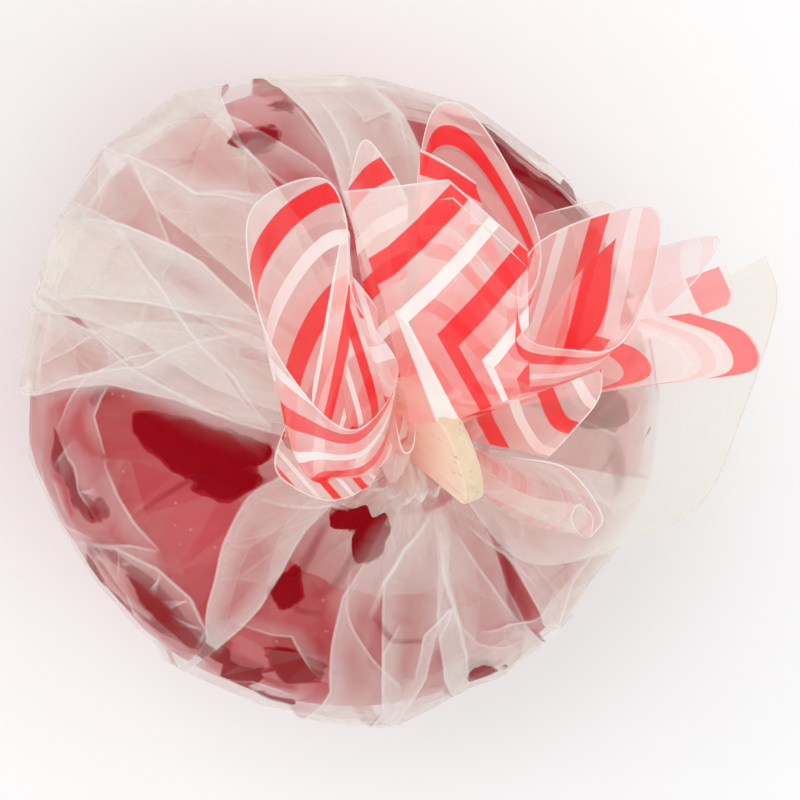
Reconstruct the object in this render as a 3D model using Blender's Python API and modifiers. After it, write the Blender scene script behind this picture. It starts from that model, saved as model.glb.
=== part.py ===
"""A toffee apple on a flat wooden stick, in a clear bag gathered round the stick.

Four solids: the toffee-coated apple with the flat foot that its toffee sets into, the stick pushed
down its core, and the bag in two parts that meet at the waist of its gathered neck. Below the waist
is the creased skin over the apple. Above it is the bag's mouth: trumpets, flaps, tongues and one wide
lip of film.
Sizes below are in millimetres. The origin is the middle of the flat spot the bag rests on, +Z up.
"""

import math

import bmesh
import bpy
from mathutils import Matrix, Vector

MM = 0.001
GAP = 0.3

# Toffee apple
APPLE_RADIUS = 34.3
APPLE_SHIFT = (0.2, 0.5)
APPLE_BASE = 1.3
FOOT_RADIUS = 17.0
FOOT_THICKNESS = 2.4
FOOT_CHAMFER = (1.2, 1.0)
FOOT_UNDERCUT = 0.4
CROWN_RADIUS = 16.0
CROWN_HEIGHT = 64.0
# The hollow at the stalk's end: share of the crown's radius, and depth below the crown.
CROWN_HOLLOW = ((1.0, 0.0), (0.6, 0.9), (0.28, 2.7), (0.09, 3.5))
FLANK_SWEEP = 62.0
FLANK_FULLNESS = 0.76
FLANK_STRETCH = 1.06
FLANK_STEPS = 9
LOBES = 5
LOBE_DEPTH = 0.012
LOBE_AZIMUTH = -7.0
LOBES_GROW_ABOVE = 0.4
SHIFT_FULL_HEIGHT = 20.0
APPLE_SEGMENTS = 32

# Stick
STICK_WIDTH = 10.2
STICK_THICKNESS = 2.0
STICK_LENGTH = 62.0
STICK_TIP = (2.6, 2.2, 93.0)
STICK_LEAN = 8.0
STICK_LEAN_AZIMUTH = -38.0
STICK_EDGE_AZIMUTH = -72.0
STICK_EDGE_ROUND = 0.35
STICK_ROUND_STEPS = 14

# Bag: the skin over the apple
SKIN_RADIUS = 37.5
REST_RADIUS = 15.5
NECK_CENTRE = (0.6, 2.2)
NECK_RADIUS = 7.0
NECK_BOTTOM = 66.0
NECK_WAIST = 71.5
NECK_TOP = 77.0
NECK_FLARE = 0.28
NECK_PLEATS = 13
NECK_PLEAT_DEPTH = 0.7
NECK_STEPS = 2
# The low dome that closes the neck round the film's roots: share of the neck's radius, and rise.
DOME = ((0.95, 3.3), (0.55, 6.0))
WIDEST_STEP = 13.0
SHOULDER_HEIGHT = 40.0
PLEATED_ABOVE = 58.0
SKIN_PLEAT_SHARE = 0.05
CREASES_START_RADIUS = 12.4
CREASES_FULL_RADIUS = 25.5
# Azimuth and radius of the skin's creases, where its outline turns a corner.
CREASES = (
    (0.0, 37.3), (19.0, 37.4), (37.6, 37.5), (49.3, 37.4), (66.2, 38.1), (84.8, 38.4),
    (101.6, 39.0), (117.0, 41.0), (132.3, 40.7), (146.3, 39.2), (160.3, 37.9), (174.0, 37.4),
    (188.0, 37.5), (201.0, 36.2), (214.0, 35.6), (228.0, 36.0), (240.6, 36.8), (253.0, 37.5),
    (266.0, 38.4), (277.7, 39.3), (290.0, 37.7), (297.6, 38.4), (310.8, 37.9), (329.3, 37.2), (345.0, 37.5),
)  # fmt: skip
# Half section of the skin: radius and height, from the rim of the flat spot up to the neck.
SKIN_SECTION = (
    (15.5, 0.0), (19.5, 0.9), (24.5, 4.0), (30.0, 10.5), (34.6, 19.0), (37.1, 28.0),
    (37.5, 36.0), (36.4, 44.5), (33.4, 52.5), (28.4, 59.6), (22.0, 64.6), (14.5, 68.0),
    (9.0, 70.2),
)  # fmt: skip

# Bag: the mouth. Each piece of film rises from the neck through a middle row to its rim.
FILM_THICKNESS = 0.8
ROOT_HEIGHT = 75.0
ROOT_RADIUS = 4.4
TRUMPET_ROOT_OFFSET = 2.6
TRUMPET_ROOT_RADIUS = 2.0
MOUTH = {
    "trumpet_left": dict(closed=True, rows=(
        ((-2.5, 5, 86), (-5.5, -0.5, 82), (-11.5, -0.5, 80), (-13.5, 7.5, 80), (-9, 14, 80),
         (-4, 12.5, 84)),
        ((-5.5, 14, 97), (-10.5, 7, 98), (-16, 11.5, 96), (-18.5, 23.5, 90), (-12.5, 30.5, 88),
         (-9, 24.5, 92)),
    )),
    "roll_left": dict(closed=False, rows=(
        ((-4, -3.5, 77), (-9, -2.5, 78), (-10.5, 3, 79), (-8, 8, 80)),
        ((-7, -3, 82), (-14.5, 0, 84), (-14.5, 7, 86), (-13, 15, 86)),
    )),
    "flap_middle": dict(closed=False, crisp=True, rows=(
        ((-4, 10.5, 86), (-3, 10, 90), (0, 8.5, 93), (2.5, 6.5, 94), (6.5, 6, 90)),
        ((-6, 19, 94), (-5, 17.5, 97), (-1.5, 16, 98), (4.5, 12.5, 98), (8, 10, 94)),
        ((-10.5, 29.5, 97), (-8, 30, 101), (-5.5, 30.5, 103), (-2, 31, 104), (6.5, 24, 100)),
    )),
    "loop_back": dict(closed=True, rows=(
        ((0, 17, 82), (0.5, 20, 82), (4.5, 20, 83), (9.5, 15, 84), (6.5, 13, 88), (1.5, 15, 88)),
        ((-2.5, 26.5, 92), (-1, 36.5, 92), (3.5, 35.5, 92), (9, 24.5, 94), (6.5, 19, 97),
         (0, 25.5, 98)),
    )),
    "peak_back": dict(closed=False, rows=(
        ((-5.5, 18, 80), (-4, 19, 80), (-3, 19, 81), (-1.5, 18, 82)),
        ((-8.5, 29, 88), (-7, 33.5, 88), (-5, 31.5, 89), (-3, 28, 90)),
    )),
    "trumpet_right": dict(closed=True, rows=(
        ((8.5, 8.5, 88), (4.5, 10, 90), (7, 16.5, 86), (14, 18, 82), (19.5, 14, 82), (15, 9.5, 86)),
        ((11.5, 14, 98), (6.5, 16, 98), (8, 24, 97), (20.5, 27, 92), (20.5, 21, 94),
         (16.5, 14.5, 97)),
    )),
    "tongue_upper": dict(closed=False, rows=(
        ((20, 11.5, 80), (19, 14.5, 79), (18.5, 17.5, 79), (18.5, 19.5, 80)),
        ((24, 17, 88), (27, 20, 88), (28.5, 23.5, 88), (22.5, 22.5, 87)),
    )),
    "tongue_lower": dict(closed=False, rows=(
        ((13.5, 7, 84), (16.5, 8.5, 85), (18.5, 11, 84), (18.5, 13.5, 82)),
        ((22.5, 9, 88), (32.5, 10, 88), (31.5, 14, 89), (26, 16, 88)),
    )),
    "tongue_square": dict(closed=False, crisp=True, rows=(
        ((19, 10.5, 80), (19.5, 13.5, 80), (19.5, 16, 81)),
        ((30.5, 16.5, 86), (31, 18, 86), (30, 20.5, 86)),
    )),
    "lip": dict(closed=False, rows=(
        ((13.5, -12.5, 70), (16.5, -8.5, 74), (18.5, -3, 76), (19, 3.5, 76), (19, 11, 76)),
        ((26, -11, 70), (32.5, -6, 72), (35.5, 3.5, 75), (38, 15, 78), (36.5, 20.5, 79)),
    )),
    "petal_low": dict(closed=False, rows=(
        ((10, -5.5, 82), (11, -3.5, 84), (10.5, -0.5, 86), (7.5, 1.5, 86)),
        ((15, -5.5, 92), (15, -2.5, 96), (11, 2.5, 98), (6, 3.5, 96)),
    )),
    "tube_low": dict(closed=True, rows=(
        ((10, -4.5, 83), (8.6, -3.2, 84), (8.8, -1.8, 85), (10, -2.8, 84)),
        ((15, -6, 90), (13, -3.8, 92), (13.4, -2, 93), (15.4, -3.8, 91)),
    )),
    "petal_under": dict(closed=False, rows=(
        ((10.5, 1.5, 82), (11.5, 3.5, 84), (12, 5.5, 85), (9.5, 7.5, 85)),
        ((10.5, 2.5, 92), (12.5, 5.5, 94), (15, 8.5, 94), (15.5, 11.5, 94)),
    )),
}  # fmt: skip
STEPS_ACROSS = 3
STEPS_UP = 2


def clear_scene():
    for obj in list(bpy.data.objects):
        bpy.data.objects.remove(obj)


def collection(name):
    made = bpy.data.collections.new(name)
    bpy.context.scene.collection.children.link(made)
    return made


def material(name, colour, roughness, alpha=1.0):
    made = bpy.data.materials.new(name)
    made.use_nodes = True
    shader = made.node_tree.nodes["Principled BSDF"]
    shader.inputs["Base Color"].default_value = (*colour, 1.0)
    shader.inputs["Roughness"].default_value = roughness
    shader.inputs["Metallic"].default_value = 0.0
    shader.inputs["Alpha"].default_value = alpha
    return made


def object_from(name, shape, place, finish=None):
    """An object from a bmesh in millimetres, with its mesh in metres."""
    bmesh.ops.scale(shape, vec=(MM, MM, MM), verts=shape.verts)
    bmesh.ops.recalc_face_normals(shape, faces=shape.faces)
    mesh = bpy.data.meshes.new(name)
    shape.to_mesh(mesh)
    shape.free()
    if finish:
        mesh.materials.append(finish)
    obj = bpy.data.objects.new(name, mesh)
    place.objects.link(obj)
    return obj


def cutter(obj):
    obj.hide_render = True
    obj.display_type = "WIRE"
    return obj


def boolean(obj, other, operation):
    modifier = obj.modifiers.new(f"{operation} {other.name}", "BOOLEAN")
    modifier.object = other
    modifier.operation = operation
    modifier.solver = "MANIFOLD"


def around(azimuth, radius=1.0):
    angle = math.radians(azimuth)
    return Vector((radius * math.cos(angle), radius * math.sin(angle)))


def smooth_point(points, place, closed):
    """The point at this place, counted in points, on a Catmull-Rom curve through them."""
    count = len(points)
    last = count if closed else count - 1
    start = min(int(place), last - 1)
    t = place - start

    def near(index):
        if closed:
            return points[index % count]
        if index < 0:
            return 2 * points[0] - points[1]
        if index >= count:
            return 2 * points[-1] - points[-2]
        return points[index]

    a, b, c, d = (near(start + offset) for offset in (-1, 0, 1, 2))
    return 0.5 * (2 * b + (c - a) * t + (2 * a - 5 * b + 4 * c - d) * t**2
                  + (3 * b - a - 3 * c + d) * t**3)  # fmt: skip


def straight_point(points, place, closed):
    count = len(points)
    start = min(int(place), (count if closed else count - 1) - 1)
    return points[start].lerp(points[(start + 1) % count], place - start)


def turned(section, azimuths, move):
    """A closed bmesh: the half section carried round through the azimuths, each point moved."""
    shape = bmesh.new()
    rings = []
    for radius, height in section:
        rings.append([shape.verts.new(move(radius, height, azimuth)) for azimuth in azimuths])
    count = len(azimuths)
    for low, high in zip(rings, rings[1:]):
        for k in range(count):
            shape.faces.new((low[k], low[(k + 1) % count], high[(k + 1) % count], high[k]))
    shape.faces.new(rings[0][::-1])
    shape.faces.new(rings[-1])
    return shape


# --- toffee apple ---


def apple_section(grown):
    """Half section of the toffee apple, pushed outwards by the amount given."""
    foot = FOOT_RADIUS + grown
    floor = APPLE_BASE - grown
    points = [Vector((foot - FOOT_CHAMFER[0], floor)), Vector((foot, floor + FOOT_CHAMFER[1]))]
    points.append(Vector((foot - FOOT_UNDERCUT, APPLE_BASE + FOOT_THICKNESS)))
    middle = 0.5 * (APPLE_BASE + FOOT_THICKNESS + CROWN_HEIGHT)
    half = CROWN_HEIGHT - middle
    for step in range(1, FLANK_STEPS + 1):
        angle = math.radians(FLANK_SWEEP * (2 * step / FLANK_STEPS - 1))
        flank = (APPLE_RADIUS + grown) * math.cos(angle) ** FLANK_FULLNESS
        climb = (half + grown) * FLANK_STRETCH * math.sin(angle)
        points.append(Vector((flank, middle + climb)))
    for share, depth in CROWN_HOLLOW:
        points.append(Vector((CROWN_RADIUS * share, CROWN_HEIGHT + grown - depth)))
    return [(point.x, point.y) for point in points]


def apple_point(radius, height, azimuth):
    """Five shallow lobes, strongest at the crown, on a body set a little off the bag's axis."""
    strength = max(LOBES_GROW_ABOVE, height / CROWN_HEIGHT)
    wave = math.cos(math.radians(LOBES * (azimuth - LOBE_AZIMUTH)))
    flat = around(azimuth, radius * (1.0 + LOBE_DEPTH * strength * wave))
    share = min(1.0, height / SHIFT_FULL_HEIGHT)
    return (flat.x + APPLE_SHIFT[0] * share, flat.y + APPLE_SHIFT[1] * share, height)


def apple_shape(grown=0.0):
    azimuths = [360.0 * k / APPLE_SEGMENTS for k in range(APPLE_SEGMENTS)]
    return turned(apple_section(grown), azimuths, apple_point)


# --- stick ---


def stick_shape(grown=0.0):
    """A flat stick with a round top end and a square lower one, its top end's tip at the origin."""
    half = STICK_WIDTH / 2
    outline = []
    for step in range(STICK_ROUND_STEPS + 1):
        angle = math.pi * step / STICK_ROUND_STEPS
        reach = half + grown
        outline.append((reach * math.cos(angle), reach * math.sin(angle) - half))
    low = -STICK_LENGTH - grown
    outline += [(-half - grown, low), (half + grown, low)]
    shape = bmesh.new()
    deep = STICK_THICKNESS / 2 + grown
    face = shape.faces.new([shape.verts.new((x, -deep, z)) for x, z in outline])
    pushed = bmesh.ops.extrude_face_region(shape, geom=[face])
    moved = [part for part in pushed["geom"] if isinstance(part, bmesh.types.BMVert)]
    bmesh.ops.translate(shape, verts=moved, vec=(0, 2 * deep, 0))
    return shape


def stick_pose():
    """Turns the stick's edge to its azimuth, leans it and puts its tip in place."""
    lean = Matrix.Rotation(math.radians(STICK_LEAN), 4,
                           Vector((*around(STICK_LEAN_AZIMUTH + 90.0), 0.0)))  # fmt: skip
    turn = Matrix.Rotation(math.radians(STICK_EDGE_AZIMUTH), 4, "Z")
    return Matrix.Translation(Vector(STICK_TIP) * MM) @ lean @ turn


# --- bag ---


def crease_columns():
    """Unit-size plan points round the skin: straight runs from crease to crease."""
    columns = []
    for (start, inner), (end, outer) in zip(CREASES, CREASES[1:] + CREASES[:1]):
        sweep = (end - start) % 360.0
        steps = math.ceil(sweep / WIDEST_STEP)
        for step in range(steps):
            share = step / steps
            corner = around(start, inner).lerp(around(end, outer), share)
            columns.append((start + sweep * share, corner / SKIN_RADIUS))
    return columns


def skin_shape():
    """The creased skin: its outline belongs to its widest part and dies away at foot and neck."""
    columns = dict(crease_columns())
    neck = Vector(NECK_CENTRE)

    def move(radius, height, azimuth):
        share = (radius - CREASES_START_RADIUS) / (CREASES_FULL_RADIUS - CREASES_START_RADIUS)
        share = min(1.0, max(0.0, share))
        plan = around(azimuth).lerp(columns[azimuth], share) * radius
        climb = max(0.0, height - SHOULDER_HEIGHT) / (SKIN_SECTION[-1][1] - SHOULDER_HEIGHT)
        pleat = 1.0
        if height > PLEATED_ABOVE:
            pleat += SKIN_PLEAT_SHARE * math.cos(math.radians(NECK_PLEATS * azimuth))
        plan = plan * pleat + neck * climb
        return (plan.x, plan.y, height)

    return turned(SKIN_SECTION, list(columns), move)


def neck_section(low, high):
    """Half section of the gather, which is narrowest at its waist and flares below and above it."""
    section = []
    for step in range(NECK_STEPS + 1):
        height = low + (high - low) * step / NECK_STEPS
        away = (height - NECK_WAIST) / (NECK_TOP - NECK_WAIST)
        section.append((NECK_RADIUS * (1.0 + NECK_FLARE * away**2), height))
    return section


def gathered_shape(section):
    """The half section carried round the neck's centre in even pleats."""
    azimuths = [180.0 * k / NECK_PLEATS for k in range(2 * NECK_PLEATS)]

    def move(radius, height, azimuth):
        pleat = NECK_PLEAT_DEPTH * math.cos(math.radians(NECK_PLEATS * azimuth))
        plan = around(azimuth, radius + pleat) + Vector(NECK_CENTRE)
        return (plan.x, plan.y, height)

    return turned(section, azimuths, move)


def root_row(row, closed):
    """Where a piece of film leaves the neck: a small ring for a trumpet, an arc for a flap."""
    neck = Vector(NECK_CENTRE)
    plans = [point.xy for point in row]
    roots = []
    if closed:
        middle = sum(plans, Vector((0.0, 0.0))) / len(plans)
        centre = neck + (middle - neck).normalized() * TRUMPET_ROOT_OFFSET
        for plan in plans:
            roots.append(centre + (plan - middle).normalized() * TRUMPET_ROOT_RADIUS)
    else:
        for plan in plans:
            roots.append(neck + (plan - neck).normalized() * ROOT_RADIUS)
    return [Vector((*root, ROOT_HEIGHT)) for root in roots]


def film_sheet(closed, rows, crisp=False):
    """An open grid of film from the neck to the rim, on curves through the rows' points."""
    rows = [[Vector(point) for point in row] for row in rows]
    rows.insert(0, root_row(rows[0], closed))
    read = straight_point if crisp else smooth_point
    spans = len(rows[0]) if closed else len(rows[0]) - 1
    across, up = (1, 1) if crisp else (STEPS_ACROSS, STEPS_UP)
    places = [k / across for k in range(spans * across + (0 if closed else 1))]
    climbs = [k / up for k in range((len(rows) - 1) * up + 1)]
    shape = bmesh.new()
    grid = []
    for climb in climbs:
        line = []
        for place in places:
            rib = [read(row, place, closed) for row in rows]
            line.append(shape.verts.new(read(rib, climb, False)))
        grid.append(line)
    count = len(places)
    for low, high in zip(grid, grid[1:]):
        for k in range(count if closed else count - 1):
            nxt = (k + 1) % count
            shape.faces.new((low[k], low[nxt], high[nxt], high[k]))
    return shape


def islands(shape):
    """The bmesh's separate pieces, each as a list of its points."""
    left = set(shape.verts)
    found = []
    while left:
        piece = []
        front = [left.pop()]
        while front:
            point = front.pop()
            piece.append(point)
            near = {edge.other_vert(point) for edge in point.link_edges} & left
            left -= near
            front.extend(near)
        found.append(piece)
    return found


def one_body(obj):
    """Applies the modifiers and drops the slivers that the joins leave beside the one true body."""
    graph = bpy.context.evaluated_depsgraph_get()
    mesh = bpy.data.meshes.new_from_object(obj.evaluated_get(graph))
    shape = bmesh.new()
    shape.from_mesh(mesh)
    pieces = sorted(islands(shape), key=len)
    slivers = [point for piece in pieces[:-1] for point in piece]
    bmesh.ops.delete(shape, geom=slivers, context="VERTS")
    shape.to_mesh(mesh)
    shape.free()
    obj.modifiers.clear()
    obj.data = mesh


def main():
    clear_scene()
    parts = collection("toffee_apple_in_bag")
    cutters = collection("cutters")
    toffee = material("red_toffee", (0.32, 0.008, 0.012), 0.12)
    wood = material("pale_wood", (0.80, 0.60, 0.38), 0.65)
    film = material("clear_film", (0.90, 0.86, 0.82), 0.15, alpha=0.45)

    apple = object_from("toffee_apple", apple_shape(), parts, toffee)
    stick = object_from("stick", stick_shape(), parts, wood)
    stick.matrix_world = stick_pose()
    edge = stick.modifiers.new("eased edges", "BEVEL")
    edge.width = STICK_EDGE_ROUND * MM
    edge.segments = 2
    edge.angle_limit = math.radians(50)

    cavity = cutter(object_from("apple_cavity", apple_shape(GAP), cutters))
    slot = cutter(object_from("stick_slot", stick_shape(GAP), cutters))
    slot.matrix_world = stick_pose()
    boolean(apple, slot, "DIFFERENCE")

    bag = object_from("bag", skin_shape(), parts, film)
    gather = gathered_shape(neck_section(NECK_BOTTOM, NECK_WAIST))
    boolean(bag, cutter(object_from("neck_below_waist", gather, cutters)), "UNION")
    boolean(bag, cavity, "DIFFERENCE")
    boolean(bag, slot, "DIFFERENCE")
    one_body(bag)

    collar = neck_section(NECK_WAIST + GAP, NECK_TOP)
    collar += [(NECK_RADIUS * share, NECK_TOP + rise) for share, rise in DOME]
    mouth = object_from("bag_mouth", gathered_shape(collar), parts, film)
    for name, piece in MOUTH.items():
        sheet = cutter(object_from(name, film_sheet(**piece), cutters))
        wall = sheet.modifiers.new("film wall", "SOLIDIFY")
        wall.thickness = FILM_THICKNESS * MM
        wall.offset = 0.0
        boolean(mouth, sheet, "UNION")
    boolean(mouth, slot, "DIFFERENCE")
    one_body(mouth)


main()
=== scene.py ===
# %% [markdown]
# # A toffee apple in a gathered bag
# The real thing is a small apple dipped in red toffee, on a flat wooden stick. A clear bag is pulled
# up round it and gathered round the stick, so that its striped mouth fans out above the apple.
# The apple, the bag and its mouth are made again, finer, in place of their imported solids,
# and the stick keeps its imported solid and gets a wood finish.

import math
import random

import bmesh
import bpy
from mathutils import Matrix, Vector


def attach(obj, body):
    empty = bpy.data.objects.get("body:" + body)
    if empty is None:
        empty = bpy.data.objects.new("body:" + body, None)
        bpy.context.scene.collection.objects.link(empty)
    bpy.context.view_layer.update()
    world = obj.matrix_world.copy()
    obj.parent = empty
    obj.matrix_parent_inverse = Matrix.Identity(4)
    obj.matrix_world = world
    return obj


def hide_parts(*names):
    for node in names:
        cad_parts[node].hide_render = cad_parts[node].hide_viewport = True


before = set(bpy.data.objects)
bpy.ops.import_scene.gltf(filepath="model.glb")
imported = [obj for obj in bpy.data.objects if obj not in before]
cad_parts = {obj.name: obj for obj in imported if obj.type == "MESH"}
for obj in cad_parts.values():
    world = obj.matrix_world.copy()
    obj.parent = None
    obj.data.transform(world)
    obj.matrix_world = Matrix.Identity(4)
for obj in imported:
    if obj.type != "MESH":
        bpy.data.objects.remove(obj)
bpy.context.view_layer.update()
MM = 0.001

# %% Helpers for the mesh tools


def deselect():
    """Operators act on whatever is selected, so each step starts from nothing."""
    if bpy.context.object and bpy.context.object.mode != "OBJECT":
        bpy.ops.object.mode_set(mode="OBJECT")
    bpy.ops.object.select_all(action="DESELECT")


def choose(obj):
    deselect()
    obj.select_set(True)
    bpy.context.view_layer.objects.active = obj


def around(azimuth, radius=1.0):
    angle = math.radians(azimuth)
    return Vector((radius * math.cos(angle), radius * math.sin(angle)))


def wave(value, low, high):
    """0 below low, 1 above high, and a smooth slope between them."""
    share = min(1.0, max(0.0, (value - low) / (high - low)))
    return share * share * (3.0 - 2.0 * share)


def along(points, place):
    """The point at this place on a straight-sided line, counted in points."""
    start = min(int(place), len(points) - 2)
    return points[start].lerp(points[start + 1], place - start)


def measured(points, distance):
    """The point this far along a straight-sided line, and its last point beyond its end."""
    for a, b in zip(points, points[1:]):
        step = (b - a).length
        if distance <= step:
            return a.lerp(b, distance / step)
        distance -= step
    return points[-1].copy()


def piece_from(name, shape, material, node):
    """A finished piece: its mesh from a bmesh in millimetres, its object at the origin."""
    bmesh.ops.scale(shape, vec=(MM, MM, MM), verts=shape.verts)
    mesh = bpy.data.meshes.new(name)
    shape.to_mesh(mesh)
    shape.free()
    mesh.materials.append(material)
    obj = bpy.data.objects.new(name, mesh)
    bpy.context.scene.collection.objects.link(obj)
    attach(obj, "root")
    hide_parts(node)
    return obj


# %% [markdown]
# ## Materials
# Clear film shows itself in two ways. It is brighter where it is seen at a slant, and each further
# layer of it adds more white. So the film's alpha comes from its slant and from a count of plies
# that each mesh carries, and the print, painted highlights on the folds and painted shade in the creases are laid over
# that.

# %% Node helpers


def fresh_material(name):
    material = bpy.data.materials.new(name)
    material.use_nodes = True
    return material, material.node_tree, material.node_tree.nodes["Principled BSDF"]


def node(tree, kind, operation=None, **values):
    """Adds a node. Each value goes to the input of that name, or of that number as in_0."""
    made = tree.nodes.new(kind)
    if operation:
        made.operation = operation
    for key, value in values.items():
        socket = made.inputs[int(key[3:])] if key.startswith("in_") else made.inputs[key]
        if isinstance(value, bpy.types.NodeSocket):
            tree.links.new(value, socket)
        else:
            socket.default_value = value
    return made


def maths(tree, operation, *values, clamp=False):
    made = node(tree, "ShaderNodeMath", operation, **{f"in_{k}": v for k, v in enumerate(values)})
    made.use_clamp = clamp
    return made.outputs[0]


def mixed(tree, share, first, second):
    """A colour between two colours."""
    made = tree.nodes.new("ShaderNodeMix")
    made.data_type = "RGBA"
    for socket, value in ((made.inputs[0], share), (made.inputs[6], first), (made.inputs[7], second)):
        if isinstance(value, bpy.types.NodeSocket):
            tree.links.new(value, socket)
        else:
            socket.default_value = value
    return made.outputs[2]


def group(name, inputs, outputs):
    tree = bpy.data.node_groups.new(name, "ShaderNodeTree")
    for label, kind, value in inputs:
        socket = tree.interface.new_socket(label, in_out="INPUT", socket_type=kind)
        if value is not None:
            socket.default_value = value
    for label, kind in outputs:
        tree.interface.new_socket(label, in_out="OUTPUT", socket_type=kind)
    return tree, tree.nodes.new("NodeGroupInput").outputs, tree.nodes.new("NodeGroupOutput").inputs


def use(tree, made, **values):
    """Places a node group in a material, with values by input name (_ for a space)."""
    placed = tree.nodes.new("ShaderNodeGroup")
    placed.node_tree = made
    for key, value in values.items():
        socket = placed.inputs[key.replace("_", " ")]
        if isinstance(value, bpy.types.NodeSocket):
            tree.links.new(value, socket)
        else:
            socket.default_value = value
    return placed.outputs


def attribute(tree, name):
    made = tree.nodes.new("ShaderNodeAttribute")
    made.attribute_name = name
    return made.outputs["Fac"]


FLOAT, VECTOR = "NodeSocketFloat", "NodeSocketVector"

# %% Group: how white a stack of film looks
veil, into, out = group(
    "film_veil", [("Slant", FLOAT, 0.0), ("Plies", FLOAT, 1.0), ("One ply", FLOAT, 0.10)], [("Alpha", FLOAT)]
)
through = maths(veil, "POWER", maths(veil, "SUBTRACT", 1.0, into["One ply"]), into["Plies"])
stacked = maths(veil, "MINIMUM", maths(veil, "MULTIPLY", into["Plies"], 0.2), 0.9)
graze = maths(veil, "SUBTRACT", 1.0, maths(veil, "MULTIPLY", stacked, maths(veil, "POWER", into["Slant"], 2.5)))
veil.links.new(maths(veil, "SUBTRACT", 1.0, maths(veil, "MULTIPLY", through, graze), clamp=True), out["Alpha"])
print("group", veil.name)

# %% Group: how the film lies
# Film that is pushed together breaks into long flat panes. Each pane gets its own share of white
# veil, partly for the plies it overlaps and partly as painted sheen for the light it reflects, and
# the crease between two panes gets a painted highlight line. Two nets of panes cross, and fine
# streaks run down from the neck. The map is in millimetres: round the bag, and down it.
lay, into, out = group("film_lay", [("Lay", VECTOR, None)], [("Share", FLOAT), ("Crease_highlight", FLOAT)])
share, crease = 0.55, 0.0
patchy = node(lay, "ShaderNodeTexNoise", Vector=into["Lay"], Scale=0.09, Detail=1.0)
patchy.noise_dimensions = "2D"
for lean, wide, tall, fine in ((24.0, 8.0, 30.0, 0.035), (-34.0, 6.0, 19.0, 0.04)):
    laid = node(lay, "ShaderNodeMapping", Vector=into["Lay"])
    laid.vector_type = "TEXTURE"
    laid.inputs["Rotation"].default_value = (0.0, 0.0, math.radians(lean))
    laid.inputs["Scale"].default_value = (wide, tall, 1.0)
    panes = node(lay, "ShaderNodeTexVoronoi", Vector=laid.outputs[0], Scale=1.0)
    panes.voronoi_dimensions = "2D"
    borders = node(lay, "ShaderNodeTexVoronoi", Vector=laid.outputs[0], Scale=1.0)
    borders.voronoi_dimensions = "2D"
    borders.feature = "DISTANCE_TO_EDGE"
    # Painted sheen: each pane's tint raises or lowers its share of veil.
    tint = node(lay, "ShaderNodeSeparateXYZ", in_0=panes.outputs["Color"]).outputs["X"]
    share = maths(lay, "MULTIPLY_ADD", tint, 0.45, share)
    # Painted highlight: a thin bright line along each border between panes.
    ridge = node(lay, "ShaderNodeMapRange", Value=borders.outputs["Distance"])
    ridge.inputs["From Min"].default_value = fine
    ridge.inputs["From Max"].default_value = 0.0
    crease = maths(lay, "MAXIMUM", ridge.outputs["Result"], crease)
streaked = node(lay, "ShaderNodeMapping", Vector=into["Lay"])
streaked.inputs["Scale"].default_value = (0.55, 0.03, 1.0)
streak = node(lay, "ShaderNodeTexNoise", Vector=streaked.outputs[0], Scale=1.0, Detail=3.0)
streak.noise_dimensions = "2D"
share = maths(lay, "MULTIPLY_ADD", maths(lay, "SUBTRACT", streak.outputs["Fac"], 0.5), 0.5, share)
lay.links.new(maths(lay, "MAXIMUM", share, 0.2), out["Share"])
seen = node(lay, "ShaderNodeMapRange", Value=patchy.outputs["Fac"])
seen.inputs["From Min"].default_value = 0.42
seen.inputs["From Max"].default_value = 0.62
lay.links.new(maths(lay, "MULTIPLY", crease, seen.outputs["Result"]), out["Crease_highlight"])
print("group", lay.name)

# %% Group: where film lies wet on toffee
# Depth is how far inside the patch a spot lies, in millimetres. Noise makes the patch's edge ragged.
wetness, into, out = group("wet_patch", [("Depth", FLOAT, -3.0), ("Place", VECTOR, None)], [("Wet", FLOAT)])
ragged = node(wetness, "ShaderNodeTexNoise", Vector=into["Place"], Scale=260.0, Detail=3.0, Roughness=0.5)
inner = node(wetness, "ShaderNodeMapRange", Value=maths(
    wetness, "MULTIPLY_ADD", maths(wetness, "SUBTRACT", ragged.outputs["Fac"], 0.5), 2.6, into["Depth"]))  # fmt: skip
inner.inputs["From Min"].default_value = -0.2
inner.inputs["From Max"].default_value = 0.3
wetness.links.new(inner.outputs["Result"], out["Wet"])
print("group", wetness.name)

# %% Group: fine crumples in film
crumple, into, out = group("film_crumple", [("Place", VECTOR, None), ("Size", FLOAT, 200.0)], [("Height", FLOAT)])
bent = node(crumple, "ShaderNodeTexNoise", Vector=into["Place"], Scale=60.0, Detail=2.0)
shifted = node(crumple, "ShaderNodeVectorMath", "MULTIPLY_ADD", in_0=bent.outputs["Color"],
               in_1=(0.01, 0.01, 0.01), in_2=into["Place"])  # fmt: skip
cells = node(crumple, "ShaderNodeTexVoronoi", Vector=shifted.outputs[0], Scale=into["Size"])
cells.feature = "F1"
crumple.links.new(cells.outputs["Distance"], out["Height"])

# %% Group: the candy stripes on the bag's mouth
# The print's own UV map counts stripes across and millimetres down from the rim.
stripes, into, out = group(
    "candy_stripes", [("Print", VECTOR, None)], [("Red", FLOAT), ("White", FLOAT), ("Rim_highlight", FLOAT), ("Gathered", FLOAT)]
)
across = node(stripes, "ShaderNodeSeparateXYZ", in_0=into["Print"])
turn = maths(stripes, "FRACT", across.outputs["X"])
from_red = maths(stripes, "ABSOLUTE", maths(stripes, "SUBTRACT", turn, 0.5))
from_white = maths(stripes, "SUBTRACT", 0.5, from_red)


def band(tree, distance, half, soft):
    """1 within half of the line, 0 beyond it, with a soft edge."""
    ramp = node(tree, "ShaderNodeMapRange", Value=distance)
    ramp.inputs["From Min"].default_value = half + soft
    ramp.inputs["From Max"].default_value = half - soft
    return ramp.outputs["Result"]


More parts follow.
